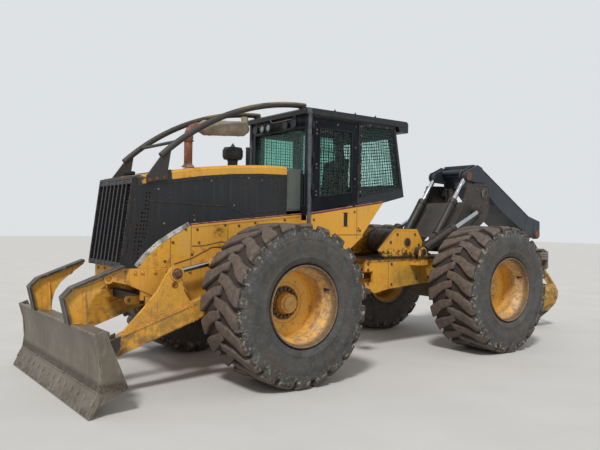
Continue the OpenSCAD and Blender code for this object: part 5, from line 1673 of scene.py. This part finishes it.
@dataclass
class NoseTrim:
    """Exhaust clamps, pre-cleaner ribs, guard welds, grille frame and bolts of the nose."""

    finishes: Finishes

    def exhaust(self) -> None:
        """Clamps, seams, screw and foot of the exhaust."""
        along = spot(2330, 350, 2780) - spot(1815, 350, 2817)
        parts = [
            ring((2520, 350, 2352), UP, 49, 6), ring((2520, 350, 2616), UP, 55, 7),
            ring((2262, 350, 2784.9), along, 87, 4), ring((1880, 350, 2812.3), along, 87, 4),
            ring((2070, 350, 2798.7), along, 87, 3),
            block((2566, 340, 2604), (2600, 360, 2628), 3), bar((2588, 328, 2616), (2588, 372, 2616), 6),
            turned([(50, 0), (96, 0), (96, 9), (84, 14), (56, 18), (50, 40)], (2520, 350, 2272), UP, 36),
        ]
        fit("exhaust_clamps", parts, self.finishes.exhaust)

    def air_cleaner(self) -> None:
        """Ribs, clamp and cap of the pre-cleaner."""
        x, y, z = 1800, 100, 2478
        places = round_at((x, y), 119, [math.tau * i / 32 for i in range(32)])
        parts = [bar((*place, z + 38), (*place, z + 100), 4, 6, 0) for place in places]
        parts += [
            ring((x, y, z + 32), UP, 119, 5), ring((x, y, z + 106), UP, 119, 5),
            ring((x, y, z - 14), UP, 62, 6),
            turned([(0, 0), (16, 0), (16, 10), (9, 14), (9, 24), (0, 24)], (x, y, z + 168), UP, 16),
        ]
        fit("pre_cleaner_ribs", parts, self.finishes.plastic)

    def guard(self) -> None:
        """Weld beads and feet bolts of the brush guard."""
        # the bars are bent round a circle, and each tie meets them 475 mm from the middle
        places = round_at((1009.0, 353.0), 2805.0, [math.radians(a) for a in (52.7, 73.2)])
        beads = [ring((x, s * 475, z), LEFT, 20, 6) for x, z in places for s in BOTH]
        fit("guard_welds", beads, self.finishes.guard)
        marks = on_sides(517, ((2880, 2180), (2960, 2168), (3040, 2150)))
        fit("guard_bolts", bolts(marks, 26, 11), self.finishes.rusty)

    def grille(self) -> None:
        """Frame bars and bolts in front of the grille, in the grille's own leaning plane."""
        lean = math.radians(7.4)
        c, s = math.cos(lean), math.sin(lean)

        def on(y: float, up: float, out: float) -> Point:
            """Place so far up the grille's plane and out of it."""
            return (3286 + out * c - up * s, y, 1235.3 + up * c + out * s)

        parts = [bar(on(y, 20, 42), on(y, 930, 42), 7, 10, 0) for y in (-462, 462)]
        parts += [bar(on(-462, up, 42), on(462, up, 42), 6, 10, 0) for up in (30, 880, 925)]
        fit("grille_frame", parts, self.finishes.black)
        out = Vector((c, 0, s))
        marks = [(on(y, up, 40), out) for y in (-440, -220, 0, 220, 440) for up in (18, 905)]
        fit("grille_bolts", bolts(marks, 20, 8), self.finishes.edge)

    def frame(self) -> None:
        """Bolt rows, weld beads and pin caps of the front frame."""
        f = self.finishes
        marks = on_sides(
            500,
            (
                (3180, 1190), (3100, 1190), (2960, 1190), (2660, 1190), (2660, 1090), (2560, 1190),
                (1450, 1180), (1350, 1180), (1450, 1080), (1350, 1080), (620, 1180), (620, 1060),
                (620, 940), (740, 1180), (740, 940),
            ),
        )
        marks += [((3240, y, z), AHEAD) for y in (-400, -200, 200, 400) for z in (1110, 1190)]
        fit("frame_bolts", bolts(marks, 32, 13), f.frame)
        welds = [
            *beads(503, [(3236, 1066), (2820, 872)], 7), *beads(503, [(2380, 867), (2000, 867)], 7),
            *beads(610, [(2050, 1084), (2154, 1000)], 5), *beads(503, [(525, 830), (1500, 864)], 7),
        ]
        fit_pair("frame_welds", welds, f.frame)
        boss = [
            turned([(0, 0), (38, 0), (42, 5), (42, 12), (12, 15), (0, 15)], beside(ARM_PIN, 753), LEFT, 36),
            turned([(0, 0), (24, 0), (27, 4), (27, 10), (0, 12)], beside(LIFT_BASE, 679), LEFT, 28),
        ]
        fit_pair("front_pin_caps", boss, f.rusty)

    def build(self) -> None:
        """Makes the whole trim."""
        self.exhaust()
        self.air_cleaner()
        self.guard()
        self.grille()
        self.frame()


@dataclass
class BladeTrim:
    """Worn strips, weld beads, straps, pin caps and edge bolts of the blade and its arms."""

    finishes: Finishes
    slope: float = 18.93

    def on_arm(self, run: float, rise: float) -> Flat:
        """Place beside the arm's middle line: run along it from its pivot, rise square to it."""
        a = math.radians(-self.slope)
        x, z = ARM_PIN
        c, s = math.cos(a), math.sin(a)
        return (x + run * c - rise * s, z + run * s + rise * c)

    def strips(self) -> None:
        """Bare steel over the upper and front edges of the horns."""
        parts = [
            plate([(3347, 1248), (3846, 1059), (3864, 1084), (3354, 1278)], 527, 643, 2),
            plate([(3842, 1060), (3923, 983), (3952, 991), (3862, 1085)], 527, 643, 2),
            plate([(3922, 986), (3951, 993), (3891, 729), (3862, 729)], 527, 643, 2),
        ]
        fit_pair("horn_strips", parts, self.finishes.edge, Body.BLADE)
        welds = [
            *beads(
                607, [(3350, 1226), (3480, 1166), (3700, 1086), (3846, 1056), (3920, 984), (3866, 735)], 5
            ),
            *bars([(3733, 607, 1055), (3733, 673, 732)], 6), *beads(607, [(3705, 731), (3860, 731)], 7),
            turned([(30, 0), (48, 0), (50, 4), (50, 18), (30, 18)], (3500, 605, 1150), LEFT, 28),
        ]
        fit_pair("horn_welds", welds, self.finishes.frame, Body.BLADE)

    def arm_parts(self) -> None:
        """Ribs, straps, caps and brace of the arms."""
        f = self.finishes
        low, high = self.on_arm(560, 84), self.on_arm(1440, 84)
        rib = [
            band([low, high], -16, 749, 9, 3),
            band([self.on_arm(150, -86), self.on_arm(1180, -86)], 14, 749, 7, 3),
        ]
        bead = beads(727, [(2705, 990), (2775, 1100), (2790, 1180)], 5)
        fit_pair("arm_ribs", rib + bead, f.frame, Body.BLADE)
        straps = []
        for run in (588, 634):
            corner = [
                self.on_arm(run, 100), self.on_arm(run + 26, 100), self.on_arm(run + 26, -100),
                self.on_arm(run, -100),
            ]
            straps.append(plate(corner, 645, 757, 3))
        tie = [self.on_arm(618, 60), self.on_arm(618, -40)]
        straps += beads(758, tie, 9)
        fit_pair("arm_straps", straps, f.frame, Body.BLADE)
        caps = [
            turned(
                [(0, 0), (54, 0), (58, 5), (58, 9), (34, 13), (30, 22), (0, 24)], beside(LIFT_EYE, 734), LEFT,
                36,
            ),
            turned([(50, 0), (84, 0), (88, 4), (88, 10), (50, 12)], beside(ARM_PIN, 749), LEFT, 40),
            ring((2840, 726, 1071), LEFT, 30, 5),
        ]
        fit_pair("arm_pin_caps", caps, f.rusty, Body.BLADE)
        marks = on_sides(742, round_at(LIFT_EYE, 44, (0.5, 2.1, 3.7, 5.3)))
        marks += on_sides(760, round_at(ARM_PIN, 70, (0.4, 1.97, 3.54, 5.11)))
        fit("arm_bolts", bolts(marks, 18, 8), f.edge, Body.BLADE)
        brace = [
            plate([(3480, 640), (3560, 612), (3560, 330), (3480, 420)], 752, 770, 3),
            plate([(3430, 610), (3600, 560), (3560, 400), (3440, 470)], 776, 790, 4),
        ]
        fit_pair("arm_end_plates", brace, f.edge, Body.BLADE)

    def blade_parts(self) -> None:
        """Bolts of the cutting edge, stiffeners of the back and welds of the end plates."""
        f = self.finishes
        out = Vector((0.905, 0, 0.425))
        marks = [((3861, -1220 + i * 2440 / 13, 136), out) for i in range(14)]
        fit("edge_bolts", bolts(marks, 38, 8), f.blade, Body.BLADE)
        joint = [bar((3826, y, 214), (3826, y + 640, 214), 8, 10, 0) for y in (-1280, -320, 640)]
        curve = [(3884, 110), (3822, 215), (3806, 350), (3822, 560), (3866, 722)]
        for s in BOTH:
            joint += beads(s * 1268, curve, 8)
        joint.append(bar((3856, -1290, 727), (3856, 1290, 727), 11, 12, 0))
        fit("blade_welds", joint, f.blade, Body.BLADE)
        ribs = [
            plate([(3690, 722), (3790, 722), (3790, 180), (3690, 240), (3650, 420)], y, y + 18, 3)
            for y in (-1000, -330, 312, 982)
        ]
        fit("blade_back_ribs", ribs, f.frame, Body.BLADE)

    def build(self) -> None:
        """Makes the whole trim."""
        self.strips()
        self.arm_parts()
        self.blade_parts()


@dataclass
class CylinderTrim:
    """Gland nuts, ports and steel tubes of the hydraulic cylinders, each on its own barrel."""

    finishes: Finishes

    def dress(self, base: Point, eye: Point, length: float, radius: float, up: Vector) -> list[Piece]:
        """Fittings of one barrel.

        Args:
            base: its base pin, in millimetres.
            eye: the eye of its rod.
            length: length of the barrel from its base pin.
            radius: radius of the barrel.
            up: side of the barrel that the ports are on.

        Returns:
            The fittings.
        """
        way = (Vector(eye) - Vector(base)).normalized()
        rise = (up - way * up.dot(way)).normalized()

        def at(run: float, out: float) -> Point:
            """Place so far along the barrel and so far out from its middle line."""
            return tuple(Vector(base) + way * run + rise * out)

        parts = [
            turned(
                [
                    (radius * 0.6, 0), (radius * 0.98, 0), (radius * 1.02, 4), (radius * 1.02, 14),
                    (radius * 0.7, 20), (radius * 0.6, 20),
                ],
                at(length - 2, 0), way, 32,
            ),
            ring(at(length - radius * 1.1, 0), way, radius * 1.1, 4),
            ring(at(radius * 2.45, 0), way, radius * 1.03, 4),
        ]
        for run in (radius * 2.1, length - radius * 0.6):
            parts.append(bar(at(run, radius * 0.9), at(run, radius * 1.0 + 22), 15, 6, 1))
        tube = [
            at(radius * 2.1 + 16, radius + 16), at(radius * 2.1 + 42, radius + 18),
            at(radius * 2.1 + 90, radius + 15), at(length * 0.5, radius + 14),
            at(length - radius - 60, radius + 15), at(length - radius - 20, radius + 19),
            at(length - radius * 0.6, radius + 16),
        ]
        parts.append(pipe(tube, 8))
        for share in (0.42, 0.74):
            parts.append(
                turned(
                    [(radius, 0), (radius + 3, 0), (radius + 3, 18), (radius, 18)], at(length * share, 0),
                    way, 28,
                )
            )
            parts.append(block_at(at(length * share + 9, radius + 8), 10))
        return parts

    def build(self) -> None:
        """Makes the fittings of the blade's, the arch's and the boom's cylinders."""
        f = self.finishes
        lift = self.dress(beside(LIFT_BASE, 612), beside(LIFT_EYE, 612), 640, 50, UP)
        fit_pair("lift_fittings", lift, f.frame, Body.LIFT)
        arch = self.dress(beside(ARCH_BASE, 552), beside(ARCH_EYE, 552), 790, 62, UP)
        fit_pair("arch_fittings", arch, f.oily, Body.ARCH_CYLINDERS)
        boom = self.dress(beside(BOOM_BASE, 310), beside(BOOM_EYE, 310), 740, 62, AHEAD)
        fit_pair("boom_fittings", boom, f.oily, Body.BOOM_CYLINDERS)


@dataclass
class RearTrim:
    """Seams, bolts, welds, tail lamps and hose tubes of the rear frame, and the winch rope."""

    finishes: Finishes
    face: float = 450.0

    def frame(self) -> None:
        """Trim of the rear frame and the tower."""
        f = self.finishes
        y = self.face
        lines = [seam((-498, 832), (-492, 1230), y), seam((-1134, 890), (-1126, 1240), y)]
        fit_pair("rear_seams", lines, f.gasket, Body.REAR)
        rims = [
            band([(-64, 1226), (-1500, 1254), (-2414, 1224)], 12, y - 1, 9, 3),
            band([(-250, 806), (-500, 850), (-1140, 900)], 10, y - 1, 7, 3),
            plate([(-1230, 1190), (-1480, 1195), (-1490, 960), (-1250, 930)], y - 1, y + 9, 3),
            plate(
                [(-430, 1268), (-350, 1360), (-650, 1640), (-1080, 1636), (-1160, 1500), (-1160, 1275)],
                420, 427, 3,
            ),
        ]
        fit_pair("rear_plates", rims, f.rear, Body.REAR)
        marks = on_sides(
            y,
            (
                (-120, 1190), (-120, 1110), (-120, 930), (-560, 1180), (-560, 900), (-1060, 1190),
                (-1060, 960), (-1700, 1180), (-1700, 1090), (-1960, 1180), (-2100, 1150), (-2300, 1150),
                (-2300, 1060),
            ),
        )
        marks += on_sides(y + 9, ((-1270, 1150), (-1450, 1160), (-1290, 980), (-1440, 1000)))
        marks += on_sides(427, ((-420, 1350), (-560, 1480), (-690, 1590), (-1040, 1590), (-1120, 1440)))
        fit("rear_bolts", bolts(marks, 30, 12), f.rusty, Body.REAR)
        caps = [
            turned([(0, 0), (60, 0), (64, 6), (64, 12), (20, 16), (0, 16)], beside(ARCH_PIN, 472), LEFT, 36),
            turned([(0, 0), (46, 0), (50, 5), (50, 10), (30, 14), (0, 15)], beside(ARCH_BASE, 616), LEFT, 32),
            turned([(0, 0), (58, 0), (62, 6), (62, 16), (26, 22), (0, 22)], beside(DRUM_AXIS, 427), LEFT, 36),
        ]
        fit_pair("rear_pin_caps", caps, f.edge, Body.REAR)

    def deck(self) -> None:
        """Tubes, valve block, tail lamps and bars of the deck."""
        f = self.finishes
        tubes = []
        for k, y in enumerate((-120, -60, 0, 60, 120)):
            z = 1300 + 14 * (k % 2)
            line = [(-1210, y, 1262), (-1230, y, z), (-1320, y, z + 8), (-1440, y * 1.2, z + 10)]
            line += [(-1560, y * 1.4, z + 6), (-1640, y * 1.5, z - 6), (-1660, y * 1.5, 1262)]
            tubes.append(pipe(line, 15))
        tubes += [block((-1330, -190, 1262), (-1240, 190, 1372), 8)]
        tubes += [bar((-1250, y, 1320), (-1212, y, 1320), 18, 6, 2) for y in range(-150, 160, 50)]
        fit("deck_tubes", tubes, f.oily, Body.REAR)
        tail = [block((-2428, 350, 1120), (-2404, 440, 1190), 5)]
        fit_pair("tail_lamps", tail, f.red, Body.REAR)
        grating = [block((-2330 + 40 * i, -380, 1226), (-2318 + 40 * i, 380, 1252), 2) for i in range(10)]
        fit("deck_bars", grating, f.rear, Body.REAR)

    def rope(self) -> None:
        """Wire rope wound on the drum, as two layers of rings."""
        pitch = 26.3
        turns = [ring(beside(DRUM_AXIS, -184 + i * pitch), LEFT, 164, 12.5) for i in range(15)]
        turns += [ring(beside(DRUM_AXIS, -171 + i * pitch), LEFT, 170, 12.5) for i in range(9)]
        fit("wound_rope", turns, self.finishes.edge, Body.DRUM)

    def build(self) -> None:
        """Makes the whole trim."""
        self.frame()
        self.deck()
        self.rope()


@dataclass
class ArchTrim:
    """Pin caps, weld beads, seams and tubes of the arch and the boom."""

    finishes: Finishes

    def arch(self) -> None:
        """Trim of the arch."""
        f = self.finishes
        caps = [
            turned(
                [(0, 0), (70, 0), (76, 6), (76, 12), (44, 17), (38, 26), (0, 28)], beside(ARCH_EYE, 516),
                LEFT, 40,
            ),
            turned([(46, 0), (84, 0), (88, 5), (88, 12), (46, 14)], beside(BOOM_PIN, 440), LEFT, 40),
            turned(
                [(0, 0), (44, 0), (46, 4), (46, 10), (16, 14), (0, 14)], beside(BOOM_PIN, 440), LEFT, 32
            ),
            turned([(52, 0), (96, 0), (100, 4), (100, 8), (52, 10)], beside(ARCH_PIN, 440), LEFT, 40),
        ]
        caps += [ring(beside(BOOM_BASE, 390), LEFT, 62, 6)]
        fit_pair("arch_pin_caps", caps, f.edge, Body.ARCH)
        edge = [
            band([(-1785, 1620), (-1990, 1925), (-2150, 2145), (-2232, 2350)], 10, 439, 7, 2),
            band([(-2700, 2010), (-2705, 2330), (-2640, 2360), (-2250, 2352)], -10, 439, 7, 2),
            plate([(-2100, 1520), (-2180, 1560), (-2480, 1820), (-2470, 1880), (-2300, 1760)], 439, 451, 3),
        ]
        fit_pair("arch_edges", edge, f.charcoal, Body.ARCH)
        marks = on_sides(
            440, ((-1900, 1500), (-2000, 1600), (-2200, 2260), (-2640, 2280), (-2640, 2080), (-2400, 2290))
        )
        fit("arch_bolts", bolts(marks, 30, 12), f.rusty, Body.ARCH)

    def boom(self) -> None:
        """Trim of the boom."""
        f = self.finishes
        welds = [
            *beads(302, [(-3980, 1896), (-3886, 1640)], 6), *beads(302, [(-2686, 2640), (-3986, 1898)], 6),
            *beads(302, [(-2720, 2356), (-3057, 2078), (-3330, 1921), (-3764, 1695), (-4165, 1520)], 6),
            plate(
                [(-4180, 1790), (-4322, 1790), (-4322, 1590), (-4284, 1530), (-4190, 1530), (-4130, 1600)],
                299, 309, 3,
            ),
            plate([(-2560, 2640), (-2700, 2600), (-2860, 2510), (-2760, 2400), (-2580, 2440)], 299, 308, 3),
        ]
        fit_pair("boom_welds", welds, f.slate, Body.BOOM)
        caps = [
            turned([(0, 0), (60, 0), (64, 3), (64, 6), (20, 8), (0, 8)], beside(BOOM_EYE, 374), LEFT, 36),
            turned([(0, 0), (62, 0), (66, 5), (66, 10), (30, 15), (0, 16)], (-4240, 312, 1590), LEFT, 36),
            ring((-2410, 357, 2572), LEFT, 47, 6),
        ]
        fit_pair("boom_pin_caps", caps, f.rusty, Body.BOOM)
        tubes = []
        for y in (-200, -160):
            line = [
                (-2640, y, 2690), (-2720, y, 2648), (-3000, y, 2490), (-3400, y, 2262), (-3800, y, 2034),
                (-3980, y, 1930), (-4080, y, 1896),
            ]
            tubes.append(pipe(line, 11))
        for x in (-2900, -3350, -3800):
            z = 2650 - (-2680 - x) * 745 / 1310
            tubes.append(
                plate(
                    [(-226, z - 2), (-134, z - 2), (-134, z + 30), (-226, z + 30)], x - 18, x + 18, 3,
                    Plane.FRONT,
                )
            )
        fit("boom_tubes", tubes, f.oily, Body.BOOM)

    def build(self) -> None:
        """Makes the whole trim."""
        self.arch()
        self.boom()


@dataclass
class GrappleTrim:
    """Ridged sides of the grapple's head, bolts of its swivel, and the tongs' ribs and caps."""

    finishes: Finishes
    tip_x: float = -4240.0

    def head(self) -> None:
        """Ribs and bolts of the head."""
        f = self.finishes
        x = self.tip_x
        ribs = [
            bar((x - 208, s * 391, z), (x + 208, s * 391, z), 11, 12, 0)
            for z in (1166, 1196, 1226, 1256)
            for s in BOTH
        ]
        ribs += [
            bar((x + e * 237, -300, z), (x + e * 237, 300, z), 9, 12, 0) for z in (1150, 1200) for e in BOTH
        ]
        fit("head_ribs", ribs, f.head, Body.HEAD)
        marks = [((x + e * 235, y, 1270), AHEAD * e) for y in (-250, -150, 150, 250) for e in BOTH]
        angles = [math.tau * (i + 0.5) / 8 for i in range(8)]
        marks += [((x + 120 * math.cos(a), 175 * math.sin(a), 1341), UP) for a in angles]
        fit("head_bolts", bolts(marks, 28, 12), f.rusty, Body.HEAD)

    def tongs(self) -> None:
        """Ribs, wear plates and pin caps of the tongs."""
        f = self.finishes
        x, w = self.tip_x, 190
        outer = [(441, 880), (546, 745), (616, 630), (609, 520), (561, 400), (441, 270)]
        inner = [(330, 850), (452, 700), (528, 600), (520, 520), (470, 430), (350, 300)]
        point = [(246, 118), (262, 112), (396, 222), (448, 268), (430, 276), (380, 236)]
        cap = [(36, 0), (60, 0), (64, 4), (64, 10), (36, 12)]
        for name, s in SIDES:
            body = Body(f"tong_{name}")
            parts = bars([(x, s * y, z) for y, z in outer], 13)
            for e in BOTH:
                parts += bars([(x + e * (w + 1), s * y, z) for y, z in inner], 6, 8)
                parts.append(turned(cap, (x + e * w, s * 240, 1030), AHEAD * e, 32))
            fit(f"tong_ribs_{name}", parts, f.tong, body)
            tip = plate([(s * y, z) for y, z in point], x - w + 2, x + w - 2, 4, Plane.FRONT)
            fit(f"tong_tip_{name}", [tip], f.edge, body)

    def build(self) -> None:
        """Makes the whole trim."""
        self.head()
        self.tongs()


@dataclass
class Studio:
    """Floor, lights and camera, which stands where the photograph was taken from."""

    camera_place: Point = (6.0726, 6.7862, 1.7297)
    yaw: float = -126.99
    pitch: float = -0.196
    roll: float = 0.904
    lens: float = 38.65
    floor_size: float = 120.0

    def camera(self) -> None:
        """Adds the camera and makes it the scene's."""
        yaw, pitch, roll = (math.radians(a) for a in (self.yaw, self.pitch, self.roll))
        forward = Vector((math.cos(pitch) * math.cos(yaw), math.cos(pitch) * math.sin(yaw), math.sin(pitch)))
        level = forward.cross(UP).normalized()
        above = level.cross(forward)
        right = math.cos(roll) * level + math.sin(roll) * above
        top = -math.sin(roll) * level + math.cos(roll) * above
        turn = Matrix((right, top, -forward)).transposed().to_4x4()
        clear_selection()
        bpy.ops.object.camera_add()
        camera = bpy.context.active_object
        camera.name = "camera"
        camera.matrix_world = Matrix.Translation(Vector(self.camera_place)) @ turn
        camera.data.sensor_width = 36.0
        camera.data.lens = self.lens
        camera.data.clip_end = 500.0
        bpy.context.scene.camera = camera

    def floor(self) -> None:
        """Adds the plain pale floor."""
        clear_selection()
        bpy.ops.mesh.primitive_plane_add(size=self.floor_size, location=(0, 0, 0))
        floor = bpy.context.active_object
        floor.name = floor.data.name = "studio_floor"
        bpy.ops.object.mode_set(mode="EDIT")
        bpy.ops.mesh.subdivide(number_cuts=1)
        bpy.ops.object.mode_set(mode="OBJECT")
        w = Weave("pale_studio_floor")
        w.colour = w.mix("#cbc8c3", "#c4c1bc", w.patches(900, 0.3, 0.7))
        w.finish(0.9)
        floor.data.materials.append(w.material)

    def lights(self) -> None:
        """Adds a soft key light and the pale surroundings, which fill the shade."""
        clear_selection()
        key_way = Vector((0.62, 0.52, 0.95)).normalized()
        bpy.ops.object.light_add(type="SUN", location=key_way * 12)
        key = bpy.context.active_object
        key.name = "key_light"
        key.rotation_euler = key_way.to_track_quat("Z", "Y").to_euler()
        key.data.energy = 2.3
        key.data.angle = math.radians(9)
        world = bpy.data.worlds.new("studio")
        bpy.context.scene.world = world
        world.use_nodes = True
        tree = world.node_tree
        tree.nodes.clear()
        ray = add(tree, "ShaderNodeLightPath")
        seen = add(
            tree, "ShaderNodeMath", {0: ray.outputs["Is Camera Ray"], 1: ray.outputs["Is Glossy Ray"]},
            operation="MAXIMUM",
        )
        seen = add(
            tree, "ShaderNodeMath", {0: seen.outputs[0], 1: ray.outputs["Is Transmission Ray"]},
            operation="MAXIMUM",
        )
        light = add(tree, "ShaderNodeBackground", {"Color": "#eef2f7", "Strength": 0.62})
        back = add(tree, "ShaderNodeBackground", {"Color": "#e3e7ea", "Strength": 0.95})
        mix = add(tree, "ShaderNodeMixShader", {0: seen.outputs[0], 1: light.outputs[0], 2: back.outputs[0]})
        add(tree, "ShaderNodeOutputWorld", {"Surface": mix.outputs[0]})

    def build(self) -> None:
        """Sets up the whole studio."""
        self.camera()
        self.floor()
        self.lights()
        bpy.context.scene.view_settings.view_transform = "Standard"


def main() -> None:
    """Builds the dressed machine and its studio."""
    logging.basicConfig(level=logging.INFO, format="%(name)s: %(message)s")
    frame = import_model()
    finishes = Finishes()
    Studio().build()
    CarriedNodes(frame["nodes"], finishes).dress()
    Tyre().fit_all(finishes)
    trims = (WheelTrim, HoodTrim, CabTrim, SeatPads, NoseTrim, BladeTrim, CylinderTrim, RearTrim, ArchTrim)
    for trim in (*trims, GrappleTrim):
        trim(finishes).build()
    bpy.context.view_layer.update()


if __name__ == "__main__":
    main()
